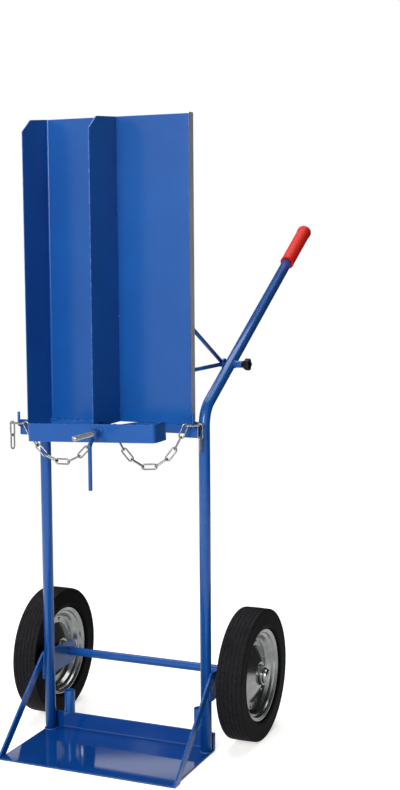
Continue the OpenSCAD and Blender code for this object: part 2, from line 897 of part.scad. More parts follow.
module rim_rivets(side) {
    head_d = rivet_d * 1.8;
    head_t = 2.5;
    color(ZINC)
        translate([side * wheel_x, axle_back, axle_z])
            rotate([0, 90, 0])
                for (i = [1, 3, 5])
                    rotate([0, 0, 60 * i + 16])
                        translate([web_circle_d / 2, 0, 0]) {
                            cylinder(d = rivet_d, h = 2 * (rim_t + head_t), center = true);
                            for (z = [-rim_t - head_t, rim_t])
                                translate([0, 0, z])
                                    cylinder(d = head_d, h = head_t);
                        }
}

module hub(side) {
    color(ZINC)
        turned_on_x(side * wheel_x, axle_back, axle_z)
            translate([hub_bore / 2, -hub_len / 2])
                square([(hub_d - hub_bore) / 2, hub_len]);
}

module bearings(side) {
    color(BLACK)
        for (u = [-bearing_end, bearing_end - bearing_w])
            turned_on_x(side * wheel_x + u, axle_back, axle_z)
                translate([axle_d / 2 + fit, 0])
                    square([hub_bore / 2 - axle_d / 2 - 2 * fit, bearing_w]);
}

// Tyre section: it seats on the rim's barrel and inside its lips, and bulges past them
module tyre(side) {
    r = wheel_d / 2;
    half_w = tyre_w / 2;
    groove_pitch = (tyre_w - 2 * shoulder_w) / 5;
    tread = [for (i = [-2 : 2]) let (low = i * groove_pitch - groove_w / 2, high = low + groove_w)
        each [[r, low], [r - groove_depth, low], [r - groove_depth, high], [r, high]]];
    color(BLACK)
        turned_on_x(side * wheel_x, axle_back, axle_z)
            polygon(concat(
                [[web_out_r + 5 + rim_t, -2], [rim_seat_r + rim_t, -rim_w / 2 + 8],
                    [rim_lip_r + 1, -rim_w / 2 + 5], [rim_lip_r + 2, -rim_w / 2 - 1],
                    [rim_lip_r + 12, -half_w], [r - 9, -half_w], [r - 3, -half_w + 1.5], [r - 1, -half_w + 4]],
                tread,
                [[r - 1, half_w - 4], [r - 3, half_w - 1.5], [r - 9, half_w], [rim_lip_r + 12, half_w],
                    [rim_lip_r + 2, rim_w / 2 + 1], [rim_lip_r + 1, rim_w / 2 - 5],
                    [rim_seat_r + rim_t, rim_w / 2 - 8], [web_out_r + 5 + rim_t, 2]]));
}

toe_plate();
side_tube(-1);  // side_tube_left
side_tube(1);  // side_tube_right
brace(-1);  // brace_left
brace(1);  // brace_right
axle_bracket(-1);  // axle_bracket_left
axle_bracket(1);  // axle_bracket_right
rear_socket(-1);  // rear_socket_left
rear_socket(1);  // rear_socket_right
axle();
axle_spacers();
axle_washers();
axle_caps();
panel_lug(-1);  // panel_lug_left
panel_lug(1);  // panel_lug_right
cradle_bar();
shield_panel();
centre_fin();
edge_strip();
strut(-1);  // strut_left
strut(1);  // strut_right
strut_nut(-1);  // strut_nut_left
strut_nut(1);  // strut_nut_right
knob_boss(-1);  // knob_boss_left
knob_boss(1);  // knob_boss_right
knob(-1);  // knob_left
knob(1);  // knob_right
knob_screw(-1);  // knob_screw_left
knob_screw(1);  // knob_screw_right
grip(-1);  // grip_left
grip(1);  // grip_right
chain_hook_left();
chain_hook_right();
clamp_stud();
clamp_bar();
clamp_washer();
clamp_nut();
clamp_lever();
chain_left();
chain_centre_link();
chain_right();
chain_end_links();
chain_tail_left();
chain_tail_right();
tyre(-1);  // tyre_left
tyre(1);  // tyre_right
rim_half(-1, -1);  // rim_outer_left
rim_half(1, 1);  // rim_outer_right
rim_half(-1, 1);  // rim_inner_left
rim_half(1, -1);  // rim_inner_right
rim_rivets(-1);  // rim_rivets_left
rim_rivets(1);  // rim_rivets_right
hub(-1);  // hub_left
hub(1);  // hub_right
bearings(-1);  // bearings_left
bearings(1);  // bearings_right
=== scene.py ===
import json
import bpy
import numpy as np
from mathutils import Matrix, Vector


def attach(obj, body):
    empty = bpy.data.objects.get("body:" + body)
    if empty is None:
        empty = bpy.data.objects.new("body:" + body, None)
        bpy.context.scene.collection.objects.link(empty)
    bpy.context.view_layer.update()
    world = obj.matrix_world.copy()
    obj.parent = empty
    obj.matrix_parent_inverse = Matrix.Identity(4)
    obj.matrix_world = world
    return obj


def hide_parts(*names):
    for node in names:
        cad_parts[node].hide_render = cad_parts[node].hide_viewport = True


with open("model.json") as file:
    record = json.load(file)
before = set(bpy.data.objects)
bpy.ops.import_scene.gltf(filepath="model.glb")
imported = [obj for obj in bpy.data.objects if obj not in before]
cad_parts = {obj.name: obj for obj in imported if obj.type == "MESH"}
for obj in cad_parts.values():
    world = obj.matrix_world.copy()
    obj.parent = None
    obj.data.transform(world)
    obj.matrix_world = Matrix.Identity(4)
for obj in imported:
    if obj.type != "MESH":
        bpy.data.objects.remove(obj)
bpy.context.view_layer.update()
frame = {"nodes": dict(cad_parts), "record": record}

MM = 0.001
CARRIER = {node: body for body, nodes in frame["record"]["behaviour"]["bodies"].items() for node in nodes}

# Places and sizes of the trolley in millimetres: X right, Y back, Z up, floor at Z 0
TUBE_X, TUBE_R, TUBE_FOOT = 200.0, 12.5, 4.0
BEND_Z, BEND_R, HANDLE_LEN, GRIP_START = 779.0, 60.0, 788.0, 630.0
HANDLE_WAY = np.array([0.0, np.sin(np.radians(60)), np.cos(np.radians(60))])
BAR_T = 5.0
OUTER_X = TUBE_X + TUBE_R
BRACKET_X = OUTER_X + BAR_T
TOE_FRONT, TOE_BACK, TOE_T = -213.0, 21.0, 4.0
SOCKET_X, SOCKET_Y = 168.0, 35.5
PANEL_LOW, PANEL_HIGH = 748.36, 1422.36
PANEL_X, PANEL_Y = 175.0, -13.5
FLANGE_X, FLANGE_FRONT, FIN_FRONT = -174.0, -122.5, -144.5
CUT_LEN, CUT_DROP, TOP_FALL = 36.0, 34.0, 6.0
AXLE_Y, AXLE_Z = 133.0, 152.5
WHEEL_X, WHEEL_R, WEB_R = 260.0, 152.5, 74.0
STUD_X, STUD_Y, STUD_Z = 14.0, -67.5, 741.36
STUD_LEN, THREAD_PITCH = 190.5, 1.75
CLAMP_FACE = -150.5
CHAIN_Y, CHAIN_Z = -111.5, 749.41
WIRE_R, LINK_IN, LINK_W, HALF_LINKS = 1.75, 29.0, 7.5, 9
BOW_R, BOW_X = (LINK_W + 2 * WIRE_R) / 2, (LINK_IN - LINK_W) / 2
TAIL_TURN = np.radians(15)
HOOK_Z = 744.61
PRONGS = {"left": np.array([-194.0, -127.5]), "right": np.array([188.0, -35.5])}
KNOB_X, KNOB_Y, KNOB_Z = 229.8, 155.885, 869.0
EYE_X = 182.5
WELD_RIPPLE = 3.2
SIDES = {"left": -1.0, "right": 1.0}
X_AXIS, Y_AXIS, Z_AXIS = (1, 0, 0), (0, 1, 0), (0, 0, 1)
DUST_GREY = (170, 168, 162)


# Shapes

def angles(count):
    """Angles of a count of equal steps round a full turn, from zero."""
    return np.arange(count) * 2 * np.pi / count


def square_to(axis):
    """Unit vector square to an axis: its cross product with Z, or with X where it is close to Z."""
    u = np.cross(axis, [0, 0, 1.0] if abs(axis[2]) < 0.9 else [1.0, 0, 0])
    return u / np.linalg.norm(u)


def rounded(corners, radius, steps=8, closed=False):
    """Path with each corner replaced by an arc of the radius: the arc is the rational curve of
    the points before, at and after the corner with weight cos(half the turn)."""
    corners = np.asarray(corners, float)
    back = np.roll(corners, 1, 0) - corners
    ahead = np.roll(corners, -1, 0) - corners
    back_len = np.linalg.norm(back, axis=1)
    ahead_len = np.linalg.norm(ahead, axis=1)
    half = np.arccos(np.clip(-(back * ahead).sum(1) / (back_len * ahead_len), -1, 1)) / 2
    reach = np.minimum(np.asarray(radius) * np.tan(half), 0.48 * np.minimum(back_len, ahead_len))
    first = (corners + back * (reach / back_len)[:, None])[:, None]
    last = (corners + ahead * (reach / ahead_len)[:, None])[:, None]
    s = np.linspace(0, 1, steps)[None, :, None]
    pull = 2 * s * (1 - s) * np.cos(half)[:, None, None]
    arcs = (first * (1 - s) ** 2 + corners[:, None] * pull + last * s ** 2) / ((1 - s) ** 2 + pull + s ** 2)
    if closed:
        return arcs.reshape(-1, corners.shape[1])
    return np.vstack([corners[:1], arcs[1:-1].reshape(-1, corners.shape[1]), corners[-1:]])


def moved_in(outline, distance, closed=True):
    """Outline moved to its left by the distance, with the sides kept parallel: the shift of a
    corner is the sum of its two side normals over one plus their dot product."""
    step = np.roll(outline, -1, 0) - outline
    if not closed:
        step[-1] = step[-2]
    step /= np.linalg.norm(step, axis=1)[:, None]
    after = np.stack([-step[:, 1], step[:, 0]], 1)
    before = np.roll(after, 1, 0)
    if not closed:
        before[0] = after[0]
    return outline + distance * (before + after) / (1 + (before * after).sum(1))[:, None]


def skin(points, wrap_rows=False, worn=None):
    """Faces of a grid of rows by columns: each face joins a point to the next row and the next column, the
    last column joins the first, and flat faces close the first and last row. The faces are turned over where
    the enclosed volume comes out negative. The third value is how far each point is a rubbed edge, from 0 to
    1; on the tyre's tread it marks painted sheen as well as scuffing."""
    rows, columns = points.shape[:2]
    index = np.arange(rows * columns).reshape(rows, columns)
    ends = [] if wrap_rows else [index[:1], index[-1:, ::-1]]
    if wrap_rows:
        index = np.vstack([index, index[:1]])
    index = np.hstack([index, index[:, :1]])
    quads = np.stack([index[:-1, :-1], index[1:, :-1], index[1:, 1:], index[:-1, 1:]], -1).reshape(-1, 4)
    faces = [quads[:, ::-1]] + [end[:, ::-1] for end in ends]
    flat = points.reshape(-1, 3)
    middle = flat.mean(0)
    volume = sum(
        np.einsum("ij,ij->", flat[f[:, 0]] - middle,
                  np.cross(flat[f[:, k]] - middle, flat[f[:, k + 1]] - middle))
        for f in faces for k in range(1, f.shape[1] - 1))
    if volume < 0:
        faces = [f[:, ::-1] for f in faces]
    edge = np.zeros((rows, columns)) if worn is None else np.broadcast_to(worn, (rows, columns))
    return flat, faces, edge.reshape(-1)


YZ = (2, 0, 1)
XY = (0, 1, 2)
XZ = (0, 2, 1)


def plate(outline, low, high, plane=XY, fillet=0.8, hold=0.5):
    """Flat plate: copies of the outline stacked from low to high, moved inwards by
    fillet·(1 − sin a) and up by fillet·(1 − cos a) round both edges."""
    outline = np.asarray(outline, float)
    x, y = outline.T
    if (x * np.roll(y, -1) - y * np.roll(x, -1)).sum() < 0:
        outline = outline[::-1]
    a = np.linspace(0, np.pi / 2, 5)
    inset = np.concatenate([[fillet + hold], fillet * (1 - np.sin(a))])
    rise = np.concatenate([[0], fillet * (1 - np.cos(a))])
    inset = np.concatenate([inset, inset[::-1]])
    height = np.concatenate([low + rise, high - rise[::-1]])
    rows = np.stack([moved_in(outline, d) for d in inset])
    points = np.concatenate([rows, np.broadcast_to(height[:, None, None], rows.shape[:2] + (1,))], 2)
    worn = np.concatenate([[0], np.ones(5), np.ones(5), [0]])[:, None]
    return skin(points[..., plane], worn=worn)


def held(rows, gap):
    """Rows of a path with two more in each long step, a gap after its start and before its end,
    so that the bends don't shade the flats."""
    step = np.diff(rows, axis=0)
    length = np.linalg.norm(step[:, :2], axis=1)[:, None]
    share = np.clip(gap / length, 0, 1)
    fan = np.stack([rows[:-1], rows[:-1] + step * share, rows[1:] - step * share], 1)
    keep = np.stack([np.ones(len(step), bool), length[:, 0] > 6 * gap, length[:, 0] > 6 * gap], 1)
    return np.vstack([fan[keep], rows[-1:]])


def strip(path, thick, low, high, plane=XY, fillet=0.6, hold=1.0):
    """Bar bent along a path: a rounded rectangle, thick across the path and reaching from low
    to high, carried along it; its ends are drawn in by the fillet."""
    path = np.asarray(path, float)
    rows = np.column_stack([path, np.broadcast_to(low, len(path)), np.broadcast_to(high, len(path))])
    rows = held(rows, hold)
    path, low, high = rows[:, :2], rows[:, 2], rows[:, 3]
    step = np.diff(path, axis=0)
    way = step / np.linalg.norm(step, axis=1)[:, None]
    pick = np.concatenate([[0, 0], np.arange(1, len(path) - 1), [-1, -1]])
    line = path[pick].copy()
    line[1] += way[0] * fillet
    line[-2] -= way[-1] * fillet
    drawn_in = np.zeros(len(line))
    drawn_in[[0, -1]] = fillet
    low, high = low[pick] + drawn_in, high[pick] - drawn_in
    side = moved_in(line, 1.0, closed=False) - line
    a = np.linspace(0, np.pi / 2, 4)
    across = np.concatenate([[thick / 2], thick / 2 - fillet * (1 - np.cos(a))])
    up = np.concatenate([[fillet + hold], fillet * (1 - np.sin(a))])
    across = np.concatenate([across, -across[::-1]])
    up = np.concatenate([up, up[::-1]])
    squeeze = 1 - drawn_in[:, None] / (thick / 2) * 0.9
    top = np.concatenate([line[:, None] + side[:, None] * (across * squeeze)[..., None],
                          (high[:, None] - up)[..., None]], 2)
    bottom = np.concatenate([line[:, None] - side[:, None] * (across * squeeze)[..., None],
                             (low[:, None] + up)[..., None]], 2)
    points = np.concatenate([top, bottom], 1)
    worn = np.concatenate([[0], np.ones(8), [0]] * 2)[None, :]
    return skin(points[..., plane], worn=np.maximum(worn, (drawn_in > 0)[:, None]))


def rod(path, radius, normal, sides=32, wrap=False):
    """Round bar: a circle of the radius carried along a path in the plane of the normal,
    point = path + r·cos(f)·normal + r·sin(f)·(way × normal)."""
    path = np.asarray(path, float)
    way = np.roll(path, -1, 0) - np.roll(path, 1, 0)
    if not wrap:
        way[0], way[-1] = path[1] - path[0], path[-1] - path[-2]
    way /= np.linalg.norm(way, axis=1)[:, None]
    normal = np.asarray(normal, float)
    beside = np.cross(way, normal)
    f = angles(sides)[:, None]
    r = np.broadcast_to(np.asarray(radius, float), len(path))[:, None, None]
    points = path[:, None] + r * (np.cos(f) * normal + np.sin(f) * beside[:, None])
    return skin(points, wrap_rows=wrap)


def blunt(path, radius, ease):
    """Path and radius with both ends eased: over the ease length the radius falls along a
    quarter circle, by ease·(1 − cos a) at ease·(1 − sin a) from the end."""
    path = np.asarray(path, float)
    a = np.linspace(0, np.pi / 2, 5)
    back, short = ease * (1 - np.sin(a)), radius - ease * (1 - np.cos(a))
    first, last = path[1] - path[0], path[-2] - path[-1]
    head = path[0] + back[::-1, None] * first / np.linalg.norm(first)
    tail = path[-1] + back[:, None] * last / np.linalg.norm(last)
    line = np.vstack([head, path[1:-1], tail])
    return line, np.concatenate([short[::-1], np.full(len(path) - 2, radius), short])


def turned(profile, centre, axis, sides=96, closed=False, worn=None):
    """Turned piece: a profile of (distance along the axis, radius) carried round the axis,
    point = centre + d·axis + r·(cos(f)·u + sin(f)·v)."""
    profile = np.asarray(profile, float)
    axis = np.asarray(axis, float) / np.linalg.norm(axis)
    u = square_to(axis)
    f = angles(sides)[:, None]
    round_ = np.cos(f) * u + np.sin(f) * np.cross(axis, u)
    points = (np.asarray(centre, float) + profile[:, 0, None, None] * axis
              + profile[:, 1, None, None] * round_)
    return skin(points, wrap_rows=closed, worn=None if worn is None else np.asarray(worn)[:, None])


def ring(low, high, inner, outer, centre, axis, fillet=0.5, sides=96):
    """Ring: a rectangle with rounded corners turned about the axis."""
    box = [[low, inner], [high, inner], [high, outer], [low, outer]]
    return turned(rounded(box, fillet, 5, closed=True), centre, axis, sides, closed=True)


def hexagon(length, across, bore, centre, axis, chamfer=1.2, sides=96):
    """Six-sided nut: radius across/2 / cos(angle from the flat's middle), cut by a cone at both
    ends, with its bore eased at both mouths."""
    flat_r, ease = across / 2, 0.6
    f = angles(sides)
    six = flat_r / np.cos((f + np.pi / 6) % (np.pi / 3) - np.pi / 6)
    d = np.array([0, 0, 0.15, 0.5, 1.0]) * chamfer
    cone = flat_r + np.array([-1.0, -0.2, 0.1, 0.8, np.inf])
    outer = np.minimum(six, np.concatenate([cone, cone[::-1]])[:, None])
    inner = np.broadcast_to(bore + np.array([[ease], [0], [0], [ease]]), (4, sides))
    radius = np.vstack([outer, inner])
    along = np.concatenate([d, length - d[::-1], [length, length - ease, ease, 0]])
    axis = np.asarray(axis, float)
    u = np.array([0, 0, 1.0])
    v = np.cross(axis, u)
    points = (np.asarray(centre, float) + along[:, None, None] * axis
              + radius[..., None] * (np.cos(f)[:, None] * u + np.sin(f)[:, None] * v))
    worn = np.concatenate([[0, 1, 1, 1, 0], [0, 1, 1, 1, 0], np.zeros(4)])[:, None]
    return skin(points, wrap_rows=True, worn=worn)


def bead(path, radius, normal):
    """Weld bead: a rod whose radius swells by a tenth with each ripple and falls with the square
    root of the distance towards its ends."""
    path = np.asarray(path, float)
    run = np.concatenate([[0], np.cumsum(np.linalg.norm(np.diff(path, axis=0), axis=1))])
    s = np.linspace(0, run[-1], max(int(run[-1] / WELD_RIPPLE * 5), 8))
    line = np.stack([np.interp(s, run, path[:, k]) for k in range(3)], 1)
    swell = 0.95 + 0.10 * np.abs(np.sin(np.pi * s / WELD_RIPPLE))
    swell *= np.clip(np.minimum(s, run[-1] - s) / radius, 0.15, 1) ** 0.5
    return rod(line, radius * swell, normal, 12)


def ring_bead(centre, path_radius, radius, normal, steps=120):
    """Weld bead round a bar: its radius swells by a tenth with each ripple along the circle."""
    centre, normal = np.asarray(centre, float), np.asarray(normal, float)
    u = square_to(normal)
    f, g = angles(steps), angles(12)[:, None]
    out = np.cos(f)[:, None] * u + np.sin(f)[:, None] * np.cross(normal, u)
    ripples = max(round(2 * np.pi * path_radius / WELD_RIPPLE), 6)
    r = radius * (0.95 + 0.10 * np.abs(np.sin(ripples * f / 2)))
    points = (centre + path_radius * out)[:, None] + r[:, None, None] * (
        np.cos(g) * out[:, None] + np.sin(g) * normal)
    return skin(points, wrap_rows=True)


def tack(centre, size):
    """Spot of weld: a flattened ball, radius times sin of latitude, with a ripple round it."""
    t = np.linspace(0.08, np.pi - 0.08, 10)[:, None]
    f = angles(16)
    k = 1 + 0.06 * np.sin(5 * f) * np.sin(t)
    points = np.stack([np.sin(t) * np.cos(f) * k, np.sin(t) * np.sin(f) * k,
                       np.cos(t) * np.ones_like(f)], 2)
    return skin(np.asarray(centre, float) + points * np.asarray(size, float))


# Finishes

def shader_tools(tree):
    """Returns add(kind, properties, **inputs): makes a node, links the inputs that are sockets
    and sets the others."""
    def add(kind, properties=None, **inputs):
        node = tree.nodes.new(kind)
        for name, value in (properties or {}).items():
            setattr(node, name, value)
        for name, value in inputs.items():
            key = name.replace("_", " ")
            socket = node.inputs[int(key[1:])] if key[1:].isdigit() else node.inputs[key]
            if isinstance(value, bpy.types.NodeSocket):
                tree.links.new(value, socket)
            else:
                socket.default_value = value
        return node
    return add


def maths(add, operation, *values, clamp=False):
    """Output of a Math node with the values as its inputs."""
    inputs = {"_%d" % i: value for i, value in enumerate(values)}
    return add("ShaderNodeMath", {"operation": operation, "use_clamp": clamp}, **inputs).outputs[0]


def ramp(add, value, start, stop, to=(0.0, 1.0), kind="LINEAR"):
    """Output that goes from one end of the second range to the other as the value goes from start
    to stop, and is held beyond."""
    return add("ShaderNodeMapRange", {"interpolation_type": kind}, Value=value, From_Min=start,
               From_Max=stop, To_Min=to[0], To_Max=to[1]).outputs[0]


def blank_shader(owner):
    """Empties the node tree of a material or world and returns its add."""
    owner.use_nodes = True
    owner.node_tree.nodes.clear()
    return shader_tools(owner.node_tree)


def new_group(name, inputs, outputs):
    """Node group with named inputs (name, kind, value) and outputs (name, kind)."""
    tree = bpy.data.node_groups.new(name, "ShaderNodeTree")
    for label, kind, value in inputs:
        tree.interface.new_socket(label, in_out="INPUT", socket_type=kind).default_value = value
    for label, kind in outputs:
        tree.interface.new_socket(label, in_out="OUTPUT", socket_type=kind)
    return tree, shader_tools(tree), tree.nodes.new("NodeGroupInput"), tree.nodes.new("NodeGroupOutput")


def make_grain():
    """Fine and broad unevenness: two noises on Object coordinates, the fine one stretched along
    the axes."""
    tree, add, given, out = new_group(
        "grain",
        [("Scale", "NodeSocketFloat", 300.0), ("Broad Scale", "NodeSocketFloat", 6.0),
         ("Stretch", "NodeSocketVector", (1, 1, 1))],
        [("Fine", "NodeSocketFloat"), ("Broad", "NodeSocketFloat")])
    place = add("ShaderNodeTexCoord").outputs["Object"]
    drawn = add("ShaderNodeVectorMath", {"operation": "MULTIPLY"}, _0=place,
                _1=given.outputs["Stretch"]).outputs[0]
    fine = add("ShaderNodeTexNoise", Vector=drawn, Scale=given.outputs["Scale"], Detail=3.0)
    broad = add("ShaderNodeTexNoise", Vector=place, Scale=given.outputs["Broad Scale"], Detail=4.0,
                Roughness=0.6)
    tree.links.new(fine.outputs[0], out.inputs["Fine"])
    tree.links.new(broad.outputs[0], out.inputs["Broad"])
    return tree


def make_edge_wear_and_sheen():
    """Rubbed edges, and on the tyre's tread a painted sheen: the mesh's edge value times the amount, broken
    up by a noise.
    """
    tree, add, given, out = new_group(
        "edge_wear_and_sheen", [("Amount", "NodeSocketFloat", 0.5), ("Scale", "NodeSocketFloat", 60.0)],
        [("Mask", "NodeSocketFloat")])
    place = add("ShaderNodeTexCoord").outputs["Object"]
    edge = add("ShaderNodeAttribute", {"attribute_name": "edge"}).outputs["Fac"]
    noise = add("ShaderNodeTexNoise", Vector=place, Scale=given.outputs["Scale"], Detail=5.0, Roughness=0.7)
    on_edge = maths(add, "MULTIPLY", edge, ramp(add, noise.outputs[0], 0.46, 0.66))
    mask = maths(add, "MULTIPLY", on_edge, given.outputs["Amount"], clamp=True)
    tree.links.new(mask, out.inputs["Mask"])
    return tree


def make_dust():
    """Settled dust: grows with the upward part of the surface normal, in soft patches."""
    tree, add, given, out = new_group(
        "dust", [("Amount", "NodeSocketFloat", 0.3)], [("Mask", "NodeSocketFloat")])
    place = add("ShaderNodeTexCoord").outputs["Object"]
    normal = add("ShaderNodeNewGeometry").outputs["Normal"]
    up = add("ShaderNodeSeparateXYZ", Vector=normal).outputs["Z"]
    noise = add("ShaderNodeTexNoise", Vector=place, Scale=35.0, Detail=6.0, Roughness=0.7)
    both = maths(add, "MULTIPLY", ramp(add, up, 0.2, 1.0), ramp(add, noise.outputs[0], 0.35, 0.75))
    mask = maths(add, "MULTIPLY", both, given.outputs["Amount"])
    tree.links.new(mask, out.inputs["Mask"])
    return tree


GRAIN, EDGE_WEAR_AND_SHEEN, DUST = make_grain(), make_edge_wear_and_sheen(), make_dust()


def rgb(r, g, b):
    """Linear colour of an sRGB colour of 0 to 255."""
    c = np.array([r, g, b]) / 255
    return (*np.where(c <= 0.04045, c / 12.92, ((c + 0.055) / 1.055) ** 2.4), 1.0)


def finish(name, colour, shade, worn_colour, rough, swing, grain, bump, wear, dust, broad=6.0,
           wear_scale=60.0, stretch=(1, 1, 1), **sockets):
    """Material of one finish: the colour drifts to its shade by the broad grain, then to the rubbed-edge
    colour on edges (on the tyre's tread a painted sheen as well as scuffing) and to grey by dust; roughness
    and bump follow the fine grain."""
    material = bpy.data.materials.new(name)
    add = blank_shader(material)
    grained = add("ShaderNodeGroup", {"node_tree": GRAIN}, Scale=grain, Broad_Scale=broad,
                  Stretch=stretch).outputs
    edges = add("ShaderNodeGroup", {"node_tree": EDGE_WEAR_AND_SHEEN}, Amount=wear, Scale=wear_scale).outputs["Mask"]
    dusty = add("ShaderNodeGroup", {"node_tree": DUST}, Amount=dust).outputs["Mask"]
    drift = ramp(add, grained["Broad"], 0.3, 0.7)
    shown = rgb(*colour)
    for factor, other in ((drift, shade), (edges, worn_colour), (dusty, DUST_GREY)):
        shown = add("ShaderNodeMix", {"data_type": "RGBA"}, _0=factor, _6=shown, _7=rgb(*other)).outputs[2]
    spread = ramp(add, grained["Fine"], 0.25, 0.75, (rough - swing, rough + swing))
    spread = maths(add, "MULTIPLY_ADD", edges, 0.25, spread, clamp=True)
    spread = maths(add, "MULTIPLY_ADD", dusty, 0.4, spread, clamp=True)
    uneven = maths(add, "MULTIPLY_ADD", edges, -0.6, grained["Fine"])
    bumped = add("ShaderNodeBump", Strength=bump, Distance=0.0004, Height=uneven)
    shader = add("ShaderNodeBsdfPrincipled", Base_Color=shown, Roughness=spread, Normal=bumped.outputs[0],
                 **sockets)
    add("ShaderNodeOutputMaterial", Surface=shader.outputs[0])
    return material


FINISHES = {
    "blue_paint": dict(
        colour=(14, 86, 164), shade=(10, 78, 154), worn_colour=(70, 118, 180), rough=0.24, swing=0.02,
        grain=260.0, bump=0.004, wear=0.5, dust=0.02, Specular_IOR_Level=0.45),
    # The same blue paint, glossier, and darker than blue_paint as painted shade: the toe plate faces up and
    # gets less light
    "shaded_gloss_blue": dict(
        colour=(8, 68, 144), shade=(6, 62, 136), worn_colour=(70, 118, 180), rough=0.06, swing=0.01,
        grain=260.0, bump=0.003, wear=0.5, dust=0.01, Specular_IOR_Level=0.5),
    "zinc_plate": dict(
        colour=(172, 174, 173), shade=(142, 146, 147), worn_colour=(205, 205, 202), rough=0.20, swing=0.06,
        grain=420.0, bump=0.03, wear=0.6, dust=0.03, broad=24.0, Metallic=1.0),
    "chain_zinc": dict(
        colour=(150, 150, 146), shade=(120, 121, 119), worn_colour=(178, 178, 174), rough=0.30, swing=0.08,
        grain=600.0, bump=0.05, wear=0.5, dust=0.02, broad=60.0, Metallic=1.0),
    "bare_metal": dict(
        colour=(212, 211, 210), shade=(196, 196, 195), worn_colour=(216, 216, 213), rough=0.45, swing=0.07,
        grain=500.0, bump=0.05, wear=0.6, dust=0.02, broad=9.0, stretch=(1, 1, 0.04), Metallic=0.3),
    # Tyre: the lighter colour on the tread is partly scuffed rubber and partly painted sheen standing in for
    # the front light's reflection
    "tyre_rubber": dict(
        colour=(7, 7, 8), shade=(10, 10, 11), worn_colour=(66, 66, 70), rough=0.45, swing=0.08,
        grain=700.0, bump=0.05, wear=1.0, dust=0.02, broad=14.0, wear_scale=900.0, Specular_IOR_Level=0.02),
    "black_plastic": dict(
        colour=(9, 9, 10), shade=(13, 13, 14), worn_colour=(40, 40, 43), rough=0.38, swing=0.06,
        grain=900.0, bump=0.05, wear=0.4, dust=0.02, Specular_IOR_Level=0.2),
    "red_grip": dict(
        colour=(226, 38, 26), shade=(214, 32, 24), worn_colour=(232, 60, 46), rough=0.50, swing=0.04,
        grain=650.0, bump=0.006, wear=0.4, dust=0.01, broad=20.0, Specular_IOR_Level=0.15),
}
FINISH = {name: finish(name, **values) for name, values in FINISHES.items()}


def new_object(name, data):
    """Object of the data, linked into the scene."""
    made = bpy.data.objects.new(name, data)
    bpy.context.collection.objects.link(made)
    return made


def make_piece(name, coat, parts, *nodes):
    """One mesh of the parts with one finish, on the body that carries the nodes it stands for."""
    count = np.cumsum([0] + [len(part[0]) for part in parts])
    points = np.vstack([part[0] for part in parts]) * MM
    faces = [row for start, part in zip(count, parts) for f in part[1] for row in (f + start).tolist()]
    mesh = bpy.data.meshes.new(name)
    mesh.from_pydata(points.tolist(), [], faces)
    mesh.polygons.foreach_set("use_smooth", np.ones(len(mesh.polygons), bool))
    edge = mesh.attributes.new("edge", "FLOAT", "POINT")
    edge.data.foreach_set("value", np.concatenate([part[2] for part in parts]).astype(np.float32))
    mesh.materials.append(FINISH[coat])
    piece = new_object(name, mesh)
    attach(piece, CARRIER[nodes[0]])
    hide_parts(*nodes)


# Frame

def handle_point(s):
    """Point of the handle's centre line at distance s from the crossing with the upright."""
    return np.array([0, 0, BEND_Z]) + np.multiply.outer(np.asarray(s, float), HANDLE_WAY)


def make_tubes():
    """Upright, bend and handle of each side tube as one round bar."""
    for side, s in SIDES.items():
        corners = np.vstack([[0, 0, TUBE_FOOT], handle_point([0, HANDLE_LEN])]) + [s * TUBE_X, 0, 0]
        bar = rod(rounded(corners, BEND_R, 28), TUBE_R, X_AXIS, 48)
        foot = ring_bead([s * TUBE_X, 0, TUBE_FOOT + 0.6], TUBE_R + 0.8, 1.9, Z_AXIS)
        make_piece("bent_tube_" + side, "blue_paint", [bar, foot], "side_tube_" + side)


def make_grips():
    """Dipped grips: a profile with a rolled mouth and a rounded end turned about the handle."""
    profile = rounded([[0, 12.55], [0, 17.5], [6, 17.4], [7.5, 16.9], [139, 17.2], [149, 18.4],
                       [163, 18.4], [163, 0.4]], [0, 1.6, 1.5, 1.5, 30, 10, 6.0, 0], 7)
    for side, s in SIDES.items():
        centre = handle_point(GRIP_START) + [s * TUBE_X, 0, 0]
        make_piece("hand_grip_" + side, "red_grip", [turned(profile, centre, HANDLE_WAY, 64)], "grip_" + side)


def make_toe_plate():
    """Toe plate: a bar bent up at the back and rounded at its front corners, as wide as the outer
    sides of the tubes; its end tabs are small plates."""
    middle, corner = TOE_T / 2, 4.0
    path = rounded([[TOE_FRONT, middle], [TOE_BACK, middle], [TOE_BACK, 42]], 6.0, 7)
    d = corner * np.array([0.0, 0.2, 0.5, 1.0])
    front = np.stack([TOE_FRONT + d, np.full(4, middle)], 1)
    path = np.vstack([front, path[1:]])
    reach = np.full(len(path), OUTER_X)
    reach[:4] -= corner - np.sqrt(corner ** 2 - (corner - d) ** 2)
    parts = [strip(path, TOE_T, -reach, reach, YZ, 0.7)]
    tab = rounded([[12.5, 0.5], [20, 0.5], [20, 41.8], [12.5, 41.8]], 1.5, 4, closed=True)
    for s in SIDES.values():
        low, high = sorted((s * (OUTER_X - TOE_T), s * OUTER_X))
        parts.append(plate(tab, low, high, YZ))
    # The toe plate's finish is the blue paint darkened as painted shade
    make_piece("foot_plate", "shaded_gloss_blue", parts, "toe_plate")


